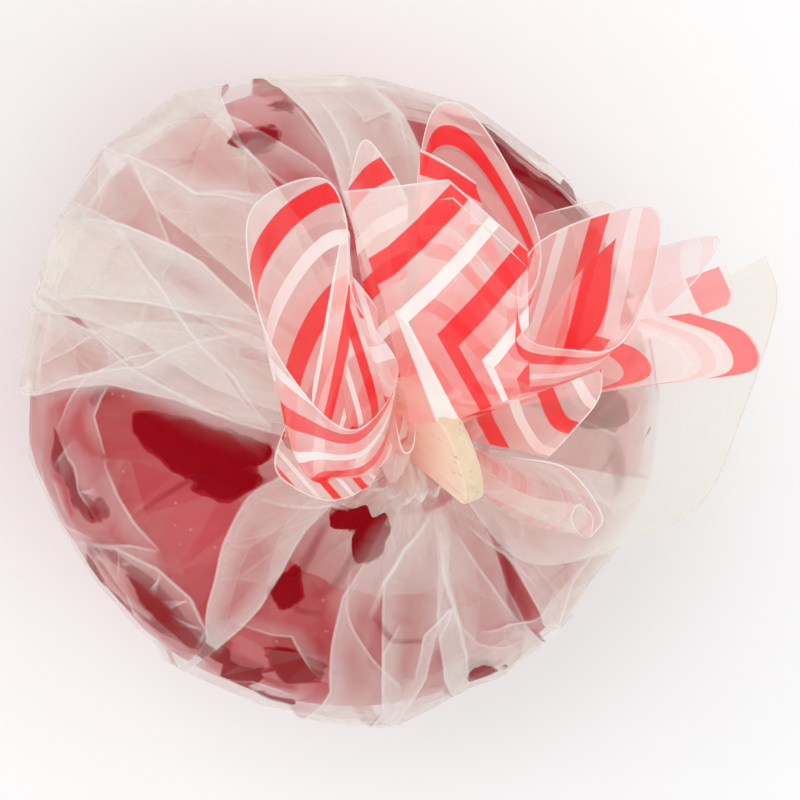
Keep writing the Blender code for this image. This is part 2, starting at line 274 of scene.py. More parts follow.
stripes.links.new(band(stripes, from_red, 0.130, 0.006), out["Red"])
stripes.links.new(band(stripes, from_white, 0.080, 0.006), out["White"])
# A painted highlight along the rim, within about 0.2 mm of it.
stripes.links.new(band(stripes, across.outputs["Y"], 0.22, 0.08), out["Rim_highlight"])
gathered = node(stripes, "ShaderNodeMapRange", Value=across.outputs["Y"])
gathered.interpolation_type = "SMOOTHSTEP"
gathered.inputs["From Min"].default_value = 3.0
gathered.inputs["From Max"].default_value = 20.0
stripes.links.new(gathered.outputs["Result"], out["Gathered"])
print("group", stripes.name)

# %% [markdown]
# ## Toffee
# Boiled sugar sets like red glass: very smooth, deep where it is thick, and with small bubbles and
# dust under the surface. A clear coat over a dark red gives that depth without glass to trace.

# %% Toffee finish
toffee_red, tree, shader = fresh_material("toffee_red")
place = tree.nodes.new("ShaderNodeTexCoord").outputs["Object"]
cloud = node(tree, "ShaderNodeTexNoise", Vector=place, Scale=45.0, Detail=3.0, Roughness=0.55)
deep = node(tree, "ShaderNodeMapRange", Value=cloud.outputs["Fac"])
deep.inputs["From Min"].default_value = 0.35
deep.inputs["From Max"].default_value = 0.68
tone = mixed(tree, deep.outputs["Result"], (0.42, 0.001, 0.012, 1), (0.54, 0.002, 0.026, 1))
specks = node(tree, "ShaderNodeTexVoronoi", Vector=place, Scale=420.0)
speck = node(tree, "ShaderNodeMapRange", Value=specks.outputs["Distance"])
speck.inputs["From Min"].default_value = 0.10
speck.inputs["From Max"].default_value = 0.07
tone = mixed(tree, maths(tree, "MULTIPLY", speck.outputs["Result"], 0.35), tone, (0.75, 0.30, 0.30, 1))
tree.links.new(tone, shader.inputs["Base Color"])
shader.inputs["Roughness"].default_value = 0.3
shader.inputs["Specular IOR Level"].default_value = 0.10
shader.inputs["Coat Weight"].default_value = 0.3
shader.inputs["Coat Roughness"].default_value = 0.04
pits = node(tree, "ShaderNodeTexNoise", Vector=place, Scale=160.0, Detail=1.0)
bump = node(tree, "ShaderNodeBump", Height=pits.outputs["Fac"], Strength=0.15, Distance=0.0004)
tree.links.new(bump.outputs["Normal"], shader.inputs["Normal"])

# %% [markdown]
# ## Wood
# The stick is punched from birch veneer. Its broad faces have long grain, its edge shows pale
# cut fibre, and red from the toffee tints it. Object coordinates are turned to lie along the stick.

# %% Wood finish
STICK_TIP = Vector((2.6, 2.2, 93.0)) * MM
STICK_LEAN, STICK_LEAN_AZIMUTH, STICK_EDGE_AZIMUTH = 8.0, -38.0, -72.0
lean = Matrix.Rotation(math.radians(STICK_LEAN), 4, Vector((*around(STICK_LEAN_AZIMUTH + 90.0), 0.0)))
stick_turn = lean @ Matrix.Rotation(math.radians(STICK_EDGE_AZIMUTH), 4, "Z")

pale_wood, tree, shader = fresh_material("pale_wood")
coordinates = tree.nodes.new("ShaderNodeTexCoord")


def on_stick(source, kind, offset):
    """Source coordinates seen from the stick: X across it, Y through it, Z along it."""
    laid = tree.nodes.new("ShaderNodeMapping")
    laid.vector_type = kind
    tree.links.new(source, laid.inputs["Vector"])
    laid.inputs["Rotation"].default_value = stick_turn.to_euler("XYZ")
    if offset:
        laid.inputs["Location"].default_value = STICK_TIP
    return laid.outputs["Vector"]


local = on_stick(coordinates.outputs["Object"], "TEXTURE", True)
facing = on_stick(coordinates.outputs["Normal"], "TEXTURE", False)
stretched = tree.nodes.new("ShaderNodeMapping")
tree.links.new(local, stretched.inputs["Vector"])
stretched.inputs["Scale"].default_value = (1.0, 1.0, 0.10)
grain = node(tree, "ShaderNodeTexNoise", Vector=stretched.outputs[0], Scale=900.0, Detail=4.0, Roughness=0.6)
broad = node(tree, "ShaderNodeMapRange",
             Value=maths(tree, "ABSOLUTE", node(tree, "ShaderNodeSeparateXYZ", in_0=facing).outputs["Y"]))  # fmt: skip
broad.inputs["From Min"].default_value = 0.55
broad.inputs["From Max"].default_value = 0.8
# The broad faces get a lighter colour than the edge, partly wood and toffee tint, partly painted light that makes up
# for the shade falling on them.
face = mixed(tree, grain.outputs["Fac"], (0.97, 0.60, 0.42, 1), (1.0, 0.86, 0.69, 1))
edge = mixed(tree, grain.outputs["Fac"], (0.72, 0.52, 0.34, 1), (0.90, 0.76, 0.55, 1))
wood = mixed(tree, broad.outputs["Result"], edge, face)
flecks = node(tree, "ShaderNodeTexNoise", Vector=stretched.outputs[0], Scale=2600.0, Detail=2.0)
fleck = node(tree, "ShaderNodeMapRange", Value=flecks.outputs["Fac"])
fleck.inputs["From Min"].default_value = 0.66
fleck.inputs["From Max"].default_value = 0.72
wood = mixed(tree, maths(tree, "MULTIPLY", fleck.outputs["Result"], 0.5), wood, (0.30, 0.13, 0.07, 1))
low_down = node(tree, "ShaderNodeMapRange", Value=node(tree, "ShaderNodeSeparateXYZ", in_0=local).outputs["Z"])
low_down.inputs["From Min"].default_value = -0.006
low_down.inputs["From Max"].default_value = -0.022
low_down.inputs["To Max"].default_value = 0.75
wood = mixed(tree, low_down.outputs["Result"], wood, (0.90, 0.30, 0.24, 1))
tree.links.new(wood, shader.inputs["Base Color"])
shader.inputs["Roughness"].default_value = 0.6
bump = node(tree, "ShaderNodeBump", Height=grain.outputs["Fac"], Strength=0.35, Distance=0.0002)
tree.links.new(bump.outputs["Normal"], shader.inputs["Normal"])

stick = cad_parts["stick"]
stick.data.materials.clear()
stick.data.materials.append(pale_wood)
print("stick finished")

# %% [markdown]
# ## Film
# One finish serves the skin and its pleats, with the plies and the places where it lies wet on the
# toffee read from the mesh. A second one adds the printed stripes and a painted highlight along the cut rim.

# %% Clear film


def lets_light_through(tree, alpha):
    """Thin film passes most of the light that falls on it, so it shades little."""
    rays = tree.nodes.new("ShaderNodeLightPath").outputs
    unseen = maths(tree, "MAXIMUM", rays["Is Shadow Ray"], rays["Is Diffuse Ray"])
    return maths(tree, "MULTIPLY", alpha, maths(tree, "MULTIPLY_ADD", unseen, -0.7, 1.0))


FILM_WHITE = (0.86, 0.805, 0.73, 1)
film_clear, tree, shader = fresh_material("film_clear")
place = tree.nodes.new("ShaderNodeTexCoord").outputs["Object"]
slant = node(tree, "ShaderNodeLayerWeight", Blend=0.5).outputs["Facing"]
laid_map = tree.nodes.new("ShaderNodeUVMap")
laid_map.uv_map = "lay"
lying = use(tree, lay, Lay=laid_map.outputs["UV"])

# The plies are scaled by each pane's share, which is partly painted sheen.
plies = maths(tree, "MULTIPLY", attribute(tree, "plies"), lying["Share"])
alpha = use(tree, veil, Slant=slant, Plies=plies, One_ply=0.078)["Alpha"]
# Painted highlight on the crease lines, stronger where the film is folded thicker.
folded = node(tree, "ShaderNodeMapRange", Value=attribute(tree, "plies"))
folded.inputs["From Min"].default_value = 1.3
folded.inputs["From Max"].default_value = 6.0
folded.inputs["To Max"].default_value = 0.2
alpha = maths(tree, "MULTIPLY_ADD", maths(tree, "MULTIPLY", lying["Crease_highlight"], folded.outputs["Result"]),
              maths(tree, "SUBTRACT", 1.0, alpha), alpha)  # fmt: skip
wet = use(tree, wetness, Depth=attribute(tree, "contact"), Place=place)["Wet"]
alpha = node(tree, "ShaderNodeMix", in_0=wet, in_2=alpha, in_3=0.93).outputs[0]
tree.links.new(lets_light_through(tree, alpha), shader.inputs["Alpha"])
tinted = mixed(tree, attribute(tree, "blush"), FILM_WHITE, (0.93, 0.33, 0.31, 1))
darkened = maths(tree, "MULTIPLY", wet, 6.0, clamp=True)
tree.links.new(mixed(tree, darkened, tinted, (0.265, 0.0, 0.004, 1)), shader.inputs["Base Color"])
tree.links.new(maths(tree, "MULTIPLY_ADD", wet, -0.28, 0.3), shader.inputs["Coat Weight"])
shader.inputs["Coat Roughness"].default_value = 0.12
shader.inputs["Specular IOR Level"].default_value = 0.04
shader.inputs["Roughness"].default_value = 0.25
height = use(tree, crumple, Place=place, Size=130.0)["Height"]
bump = node(tree, "ShaderNodeBump", Height=height, Strength=0.12, Distance=0.0004)
tree.links.new(bump.outputs["Normal"], shader.inputs["Normal"])

# %% Striped film
film_striped, tree, shader = fresh_material("film_striped")
place = tree.nodes.new("ShaderNodeTexCoord").outputs["Object"]
slant = node(tree, "ShaderNodeLayerWeight", Blend=0.5).outputs["Facing"]
printed = tree.nodes.new("ShaderNodeUVMap")
printed.uv_map = "print"
ink = use(tree, stripes, Print=printed.outputs["UV"])
# Each facet gets its own pink blush and share of white veil: partly random tone, partly painted shading and sheen of
# the facets.
facets = node(tree, "ShaderNodeMapping", Vector=printed.outputs["UV"])
facets.inputs["Scale"].default_value = (2.3, 0.12, 1.0)
facet = node(tree, "ShaderNodeTexVoronoi", Vector=facets.outputs[0], Scale=1.0)
facet.voronoi_dimensions = "2D"
tint = node(tree, "ShaderNodeSeparateXYZ", in_0=facet.outputs["Color"])
blush = node(tree, "ShaderNodeMapRange", Value=tint.outputs["X"])
blush.inputs["From Min"].default_value = 0.3
blush.inputs["From Max"].default_value = 0.9
blush.inputs["To Max"].default_value = 0.5
blush = maths(tree, "MAXIMUM", blush.outputs["Result"], maths(tree, "MULTIPLY", ink["Gathered"], 0.85))
blush = maths(tree, "MAXIMUM", blush, attribute(tree, "blush"))
red = maths(tree, "MULTIPLY", ink["Red"], attribute(tree, "red_ink"))
white = maths(tree, "MULTIPLY", ink["White"], attribute(tree, "white_ink"))
alpha = use(tree, veil, Slant=slant, Plies=attribute(tree, "plies"), One_ply=0.30)["Alpha"]
alpha = maths(tree, "MULTIPLY_ADD", maths(tree, "SUBTRACT", tint.outputs["Y"], 0.5), 0.22, alpha)
alpha = maths(tree, "MAXIMUM", alpha, maths(tree, "MULTIPLY", ink["Gathered"], 0.55))
alpha = maths(tree, "MAXIMUM", alpha, maths(tree, "MULTIPLY", red, 0.90))
alpha = maths(tree, "MAXIMUM", alpha, maths(tree, "MULTIPLY", white, 0.90))
# Painted highlight: the rim is made more opaque.
alpha = maths(tree, "MAXIMUM", alpha, maths(tree, "MULTIPLY", ink["Rim_highlight"], 0.60))
tree.links.new(lets_light_through(tree, alpha), shader.inputs["Alpha"])
colour = mixed(tree, blush, (0.93, 0.82, 0.78, 1), (0.94, 0.27, 0.25, 1))
colour = mixed(tree, white, colour, (0.96, 0.89, 0.86, 1))
colour = mixed(tree, red, colour, (0.93, 0.026, 0.032, 1))
# Painted highlight: the rim is mixed towards near-white.
colour = mixed(tree, maths(tree, "MULTIPLY", ink["Rim_highlight"], 0.5), colour, (0.97, 0.95, 0.93, 1))
tree.links.new(colour, shader.inputs["Base Color"])
# Painted light: the film glows weakly in its own colour, standing in for daylight shining through it.
tree.links.new(colour, shader.inputs["Emission Color"])
shader.inputs["Emission Strength"].default_value = 0.05  # daylight that shines through the thin film
shader.inputs["Roughness"].default_value = 0.22
shader.inputs["Specular IOR Level"].default_value = 0.3
height = use(tree, crumple, Place=place, Size=200.0)["Height"]
bump = node(tree, "ShaderNodeBump", Height=height, Strength=0.2, Distance=0.0004)
tree.links.new(bump.outputs["Normal"], shader.inputs["Normal"])

# %% Painted highlights on the folds
# A ribbon's map runs 0 to 1 across it and along it, and its painted highlight fades towards all its edges.
fold_light, tree, shader = fresh_material("fold_light")
ribbon_map = tree.nodes.new("ShaderNodeUVMap")
ribbon_map.uv_map = "lay"
split = node(tree, "ShaderNodeSeparateXYZ", in_0=ribbon_map.outputs["UV"])


def hump(value, power):
    """0 at both ends of the map and 1 in its middle."""
    tree = value.id_data
    rise = maths(tree, "MULTIPLY", maths(tree, "MULTIPLY", value, maths(tree, "SUBTRACT", 1.0, value)), 4.0)
    return maths(tree, "POWER", maths(tree, "MAXIMUM", rise, 0.0), power)


# Painted highlight: near-white, most opaque along the ribbon's middle, and weaker over wet patches.
glow = maths(tree, "MULTIPLY", hump(split.outputs["X"], 1.5), hump(split.outputs["Y"], 0.7))
place = tree.nodes.new("ShaderNodeTexCoord").outputs["Object"]
dry = maths(tree, "MULTIPLY_ADD", use(tree, wetness, Depth=attribute(tree, "contact"), Place=place)["Wet"], -0.7, 1.0)
glow = maths(tree, "MULTIPLY", glow, dry)
tree.links.new(maths(tree, "MULTIPLY", glow, attribute(tree, "plies")), shader.inputs["Alpha"])
shader.inputs["Base Color"].default_value = (0.97, 0.95, 0.91, 1)
shader.inputs["Roughness"].default_value = 0.3
# Painted shade: a dark red laid along creases in the film.
fold_shade, tree, shader = fresh_material("fold_shade")
ribbon_map = tree.nodes.new("ShaderNodeUVMap")
ribbon_map.uv_map = "lay"
split = node(tree, "ShaderNodeSeparateXYZ", in_0=ribbon_map.outputs["UV"])
gloom = maths(tree, "MULTIPLY", hump(split.outputs["X"], 1.2), hump(split.outputs["Y"], 0.7))
tree.links.new(maths(tree, "MULTIPLY", gloom, attribute(tree, "plies")), shader.inputs["Alpha"])
shader.inputs["Base Color"].default_value = (0.22, 0.002, 0.012, 1)
shader.inputs["Roughness"].default_value = 0.3
shader.inputs["Specular IOR Level"].default_value = 0.1
# Painted highlight: a near-white, half-clear finish for the beads on the cut rims.
painted_rim_highlight, tree, shader = fresh_material("painted_rim_highlight")
shader.inputs["Base Color"].default_value = (0.98, 0.93, 0.91, 1)
shader.inputs["Roughness"].default_value = 0.2
shader.inputs["Alpha"].default_value = 0.55
print("film finishes:", film_clear.name, film_striped.name, fold_light.name, painted_rim_highlight.name)

# %% [markdown]
# ## The toffee apple
# An apple is a ball with a flat crown, a hollow round its stalk and five soft lobes, and the toffee
# pools into a flat foot where the apple was stood to set. It starts as a UV sphere, whose rings
# are then laid along the apple's half section.

# %% The apple's half section
APPLE_RADIUS, APPLE_SHIFT, APPLE_BASE = 34.3, Vector((0.2, 0.5)), 1.3
FOOT_RADIUS, FOOT_THICKNESS, CROWN_RADIUS, CROWN_HEIGHT = 17.0, 2.4, 16.0, 64.0
FLANK_SWEEP, FLANK_FULLNESS, FLANK_STRETCH, FLANK_STEPS = 62.0, 0.76, 1.06, 40
section = [Vector((0.0, CROWN_HEIGHT - 3.6)), Vector((1.4, CROWN_HEIGHT - 3.5))]
for share, depth in ((0.28, 2.7), (0.45, 1.6), (0.6, 0.9), (0.8, 0.25), (1.0, 0.0)):
    section.append(Vector((CROWN_RADIUS * share, CROWN_HEIGHT - depth)))
middle = 0.5 * (APPLE_BASE + FOOT_THICKNESS + CROWN_HEIGHT)
for step in range(FLANK_STEPS, -1, -1):
    angle = math.radians(FLANK_SWEEP * (2 * step / FLANK_STEPS - 1))
    climb = (CROWN_HEIGHT - middle) * FLANK_STRETCH * math.sin(angle)
    section.append(Vector((APPLE_RADIUS * math.cos(angle) ** FLANK_FULLNESS, middle + climb)))
section += [Vector((FOOT_RADIUS - 0.4, APPLE_BASE + FOOT_THICKNESS)), Vector((FOOT_RADIUS, APPLE_BASE + 1.0)),
            Vector((FOOT_RADIUS - 1.2, APPLE_BASE)), Vector((0.0, APPLE_BASE))]  # fmt: skip
girth = sum((b - a).length for a, b in zip(section, section[1:]))
print("section", len(section), "points,", round(girth, 1), "mm long")

# %% Lay the sphere's rings along it
SPHERE_RINGS = 120
CLINGING = 1.045  # the film clings to the toffee, so its flanks reach just into the bag's wall
deselect()
bpy.ops.mesh.primitive_uv_sphere_add(segments=96, ring_count=SPHERE_RINGS, radius=1.0)
apple = bpy.context.object
apple.name = "toffee_coat"
for vertex in apple.data.vertices:
    polar = math.acos(max(-1.0, min(1.0, vertex.co.z))) / math.pi
    azimuth = math.degrees(math.atan2(vertex.co.y, vertex.co.x))
    spot = measured(section, polar * girth)
    strength = max(0.4, spot.y / CROWN_HEIGHT)
    lobes = 1.0 + 0.012 * strength * math.cos(math.radians(5 * (azimuth + 7.0)))
    westward = math.exp(-(((azimuth % 360.0 - 188.0) / 17.0) ** 2))
    swell = 1.0 + (CLINGING - 1.0 + 0.024 * westward) * wave(spot.x, 16.0, 30.0)
    flat = around(azimuth, spot.x * lobes * swell) + APPLE_SHIFT * min(1.0, spot.y / 20.0)
    vertex.co = Vector((flat.x, flat.y, spot.y)) * MM
bpy.ops.object.shade_smooth()
apple.data.materials.append(toffee_red)
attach(apple, "root")
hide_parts("toffee_apple")
print("toffee", len(apple.data.polygons), "faces")

# %% [markdown]
# ## The skin of the bag
# Film cannot stretch, so over a ball it breaks into flat facets between creases that run from the
# neck. The skin is a net of corners on the bag's section. Its columns are the creases, its rows go
# down from the neck, each corner is nudged a little, and the triangles between them stay flat.

# %% The bag's section and creases
SKIN_RADIUS = 37.5
NECK_CENTRE = Vector((0.6, 2.2))
SHOULDER_HEIGHT, SKIN_TOP = 40.0, 70.2
SKIN_SECTION = [Vector(point) for point in (
    (9.0, 70.2), (14.5, 68.0), (22.0, 64.6), (28.4, 59.6), (33.4, 52.5), (36.4, 44.5), (37.5, 36.0),
    (37.1, 28.0), (34.6, 19.0), (30.0, 10.5), (24.5, 4.0), (19.5, 0.9), (15.5, 0.0))]  # fmt: skip
CREASES = (
    (0.0, 37.3), (19.0, 37.4), (37.6, 37.5), (49.3, 37.4), (66.2, 38.1), (84.8, 38.4), (101.6, 39.0),
    (117.0, 41.0), (132.3, 40.7), (146.3, 39.2), (160.3, 37.9), (174.0, 37.4), (188.0, 37.5),
    (201.0, 36.2), (214.0, 35.6), (228.0, 36.0), (240.6, 36.8), (253.0, 37.5), (266.0, 38.4),
    (277.7, 39.3), (290.0, 37.7), (297.6, 38.4), (310.8, 37.9), (329.3, 37.2), (345.0, 37.5),
)  # fmt: skip
SKIN_LENGTH = sum((b - a).length for a, b in zip(SKIN_SECTION, SKIN_SECTION[1:]))


def tucked(azimuth, radius):
    """A crease of the film lies a little inside the solid's, but not in the south-west, where it is tight."""
    return radius - 1.75 + 1.65 * math.exp(-(((azimuth - 212.0) / 48.0) ** 2))


def corner_share(azimuth):
    """The skin's outline, straight from crease to crease, as a share of its nominal radius."""
    azimuth %= 360.0
    for (start, inner), (end, outer) in zip(CREASES, CREASES[1:] + CREASES[:1]):
        sweep, way = (end - start) % 360.0, (azimuth - start) % 360.0
        if way <= sweep:
            corners = around(start, tucked(start, inner)), around(end, tucked(end, outer))
            return corners[0].lerp(corners[1], way / sweep) / SKIN_RADIUS
    return around(azimuth)


def on_skin(azimuth, down, lift=0.0):
    """A point on the bag: its azimuth, and its distance down the film from the neck, in mm."""
    spot = measured(SKIN_SECTION, down)
    lift *= 1.0 - 0.9 * wave(down, 58.0, 86.0)  # the bag's weight lays its film flat under it
    ahead = measured(SKIN_SECTION, down + 0.5) - measured(SKIN_SECTION, max(0.0, down - 0.5))
    spot = spot + Vector((-ahead.y, ahead.x)).normalized() * lift
    share = min(1.0, max(0.0, (spot.x - 12.4) / 13.1))
    flat = around(azimuth).lerp(corner_share(azimuth), share) * spot.x
    climb = max(0.0, spot.y - SHOULDER_HEIGHT) / (SKIN_TOP - SHOULDER_HEIGHT)
    flat = flat + NECK_CENTRE * climb
    return Vector((flat.x, flat.y, max(0.02, spot.y)))


print("film from neck to foot", round(SKIN_LENGTH, 1), "mm")

# %% The net of facets
ROWS_DOWN = (0.0, 5.5, 13.0, 23.0, 34.0, 45.0, 56.0, 67.0, 77.0, 85.5, 93.5)
MM_PER_DEGREE = 0.65


def marked(obj, plies, blush=0.0, red_ink=1.0, white_ink=1.0):
    """Fills in what a film finish reads from its piece: the same everywhere, and dry."""
    values = (("plies", plies), ("contact", -3.0), ("blush", blush), ("red_ink", red_ink), ("white_ink", white_ink))
    for name, value in values:
        if name not in obj.data.attributes:
            made = obj.data.attributes.new(name, "FLOAT", "POINT")
            made.data.foreach_set("value", value if isinstance(value, list) else [value] * len(obj.data.vertices))


chance = random.Random(7)
columns = []
for (start, _), (end, _) in zip(CREASES, CREASES[1:] + CREASES[:1]):
    columns.append((start, 0.1))
    if (end - start) % 360.0 > 16.0:
        columns.append((start + 0.5 * ((end - start) % 360.0), -0.2))
skin = bmesh.new()
lay_map = skin.loops.layers.uv.new("lay")
rows, laid_rows = [], []
for number, down in enumerate(ROWS_DOWN):
    inside = 0 < number < len(ROWS_DOWN) - 1
    ring, laid_ring = [], []
    for azimuth, lift in columns:
        nudge = chance.uniform(-2.2, 2.2) if inside else 0.0
        drop = chance.uniform(-2.4, 2.4) if inside else 0.0
        out = lift + chance.uniform(-0.2, 0.2) if inside else 0.0
        ring.append(skin.verts.new(on_skin(azimuth + nudge, down + drop, out)))
        laid_ring.append(((azimuth + nudge) * MM_PER_DEGREE, down + drop))
    rows.append(ring)
    laid_rows.append(laid_ring)
count = len(columns)
plies = skin.faces.layers.float.new("plies")
for number, (high, low) in enumerate(zip(rows, rows[1:])):
    for k in range(count):
        nxt = (k + 1) % count
        whole = 360.0 * MM_PER_DEGREE if nxt == 0 else 0.0
        corners = (high[k], low[k], low[nxt], high[nxt])
        spots = [laid_rows[number][k], laid_rows[number + 1][k], laid_rows[number + 1][nxt], laid_rows[number][nxt]]
        for side in (2, 3):
            spots[side] = (spots[side][0] + whole, spots[side][1])
        pairs = ((0, 1, 2), (0, 2, 3)) if chance.random() < 0.5 else ((0, 1, 3), (1, 2, 3))
        for triple in pairs:
            face = skin.faces.new([corners[c] for c in triple])
            near = 1.0 - wave(ROWS_DOWN[number], 0.0, 12.0)
            face[plies] = 0.9 + 0.8 * near + chance.choice((0.0, 0.05, 0.1, 0.2, 0.4))
            for loop, c in zip(face.loops, triple):
                loop[lay_map].uv = spots[c]
centre = skin.verts.new((0, 0, 0.0))
for k in range(count):
    face = skin.faces.new((rows[-1][k], centre, rows[-1][(k + 1) % count]))
    face[plies] = chance.uniform(3.0, 6.0)
    for loop, spot in zip(face.loops, (laid_rows[-1][k], (laid_rows[-1][k][0], 109.0), laid_rows[-1][k])):
        loop[lay_map].uv = spot
bmesh.ops.recalc_face_normals(skin, faces=skin.faces)
bag_skin = piece_from("bag_skin", skin, film_clear, "bag")
choose(bag_skin)
bpy.ops.object.mode_set(mode="EDIT")
bpy.ops.mesh.select_all(action="SELECT")
bpy.ops.mesh.subdivide(number_cuts=5)
bpy.ops.object.mode_set(mode="OBJECT")
print("skin", len(bag_skin.data.polygons), "faces")

# %% Where the film lies wet on the toffee
# The outline of each patch as (azimuth, distance down the film).
WET_PATCHES = (
    ((178, 21), (176, 19), (177, 14), (181, 9), (187, 5), (191, 5), (193, 8), (193, 15), (189, 17), (184, 20)),
    ((174, 30), (171, 25), (174, 27), (178, 29)),
    ((205, 38), (206, 31), (214, 28), (223, 27), (230, 27), (233, 30.5), (228, 35), (220, 39), (209, 42)),
    ((226, 2), (240, 0), (262, 0), (260, 5), (252, 7), (244, 3), (234, 4)),
    ((242, 22), (248, 20), (257, 22), (259, 27), (252, 29), (246, 27)),
    ((182, 36), (185, 33), (191, 33), (195, 32), (196, 28), (200, 29), (200, 34), (195, 37), (189, 38)),
    ((119, 30.5), (114, 31.5), (108, 30.5), (110, 27.5), (115, 26.5)),
    ((107, 36), (104, 37), (102.5, 34.5), (104, 32.5)),
    ((77, 36), (69, 36), (60, 33), (50, 31), (45, 29), (50, 27), (58, 28), (67, 31)),
    ((187, 13), (195, 8), (200, 7), (203, 11), (197, 15)),
    ((231, 12), (233, 9), (243, 13), (239, 16), (234, 15)),
)  # fmt: skip

# Air that is caught inside a patch.
BUBBLES = (
    ((206, 36), (209, 32), (214, 32), (219, 33), (223, 32), (224, 34), (219, 37), (213, 39), (208, 39)),
    ((190, 36), (192, 34.5), (196, 35), (196, 36.5), (192, 37)),
)


def patch_depth(azimuth, down, outline):
    """How far inside the outline this spot lies, in millimetres, and below 0 outside it."""
    scale = math.radians(1.0) * measured(SKIN_SECTION, down).x
    corners = [Vector((((a - azimuth + 180.0) % 360.0 - 180.0) * scale, d - down)) for a, d in outline]
    nearest, inside = 99.0, False
    for a, b in zip(corners, corners[1:] + corners[:1]):
        edge = b - a
        foot = a + edge * min(1.0, max(0.0, -a.dot(edge) / edge.length_squared))
        nearest = min(nearest, foot.length)
        if (a.y > 0.0) != (b.y > 0.0) and a.x - a.y * edge.x / edge.y > 0.0:
            inside = not inside
    return nearest if inside else -nearest


def down_to(radius, height):
    """How far down the film its section passes nearest to this radius and height."""
    spot, walked, best = Vector((radius, height)), 0.0, (99.0, 0.0)
    for a, b in zip(SKIN_SECTION, SKIN_SECTION[1:]):
        edge = b - a
        share = min(1.0, max(0.0, (spot - a).dot(edge) / edge.length_squared))
        best = min(best, ((a + edge * share - spot).length, walked + edge.length * share))
        walked += edge.length
    return best[1]


def wet(obj):
    """Writes on each point how deep inside a wet patch it lies."""
    depths = []
    for vertex in obj.data.vertices:
        x, y, height = vertex.co / MM
        climb = max(0.0, height - SHOULDER_HEIGHT) / (SKIN_TOP - SHOULDER_HEIGHT)
        flat = Vector((x, y)) - NECK_CENTRE * climb
        azimuth, deepest = math.degrees(math.atan2(flat.y, flat.x)), -3.0
        down = down_to(flat.length, height)
        if down < 50.0 and height < SKIN_TOP:
            deepest = max([patch_depth(azimuth, down, outline) for outline in WET_PATCHES] + [deepest])
            deepest = min([-patch_depth(azimuth, down, outline) for outline in BUBBLES] + [deepest])
        depths.append(deepest)
    obj.data.attributes.new("contact", "FLOAT", "POINT").data.foreach_set("value", depths)


wet(bag_skin)
marked(bag_skin, 1.0)
print("wet patches", len(WET_PATCHES))

# %% Keep the toffee just under the film
FILM_GAP = 0.8
pressed = 0
for vertex in apple.data.vertices:
    x, y, height = vertex.co / MM
    climb = max(0.0, height - SHOULDER_HEIGHT) / (SKIN_TOP - SHOULDER_HEIGHT)
    centre_here = NECK_CENTRE * climb
    flat = Vector((x, y)) - centre_here
    for upper, lower in zip(SKIN_SECTION, SKIN_SECTION[1:]):
        if lower.y <= height <= upper.y and flat.length > 20.0:
            nominal = lower.lerp(upper, (height - lower.y) / (upper.y - lower.y)).x
            room = (corner_share(math.degrees(math.atan2(flat.y, flat.x))) * nominal).length - FILM_GAP
            if flat.length > room:
                flat = centre_here + flat.normalized() * room
                vertex.co.x, vertex.co.y = flat.x * MM, flat.y * MM
                pressed += 1
print("points of toffee pressed in by the film", pressed)

# %% [markdown]
# ## Pleats
# Where the bag is too wide for the apple, its film folds over itself in long wedges that run from
# the neck down the sides. Each wedge is a strip between two folded edges that lies just over the
# skin and counts several plies. Wedges lie over one another, so the film is whitest where they cross.

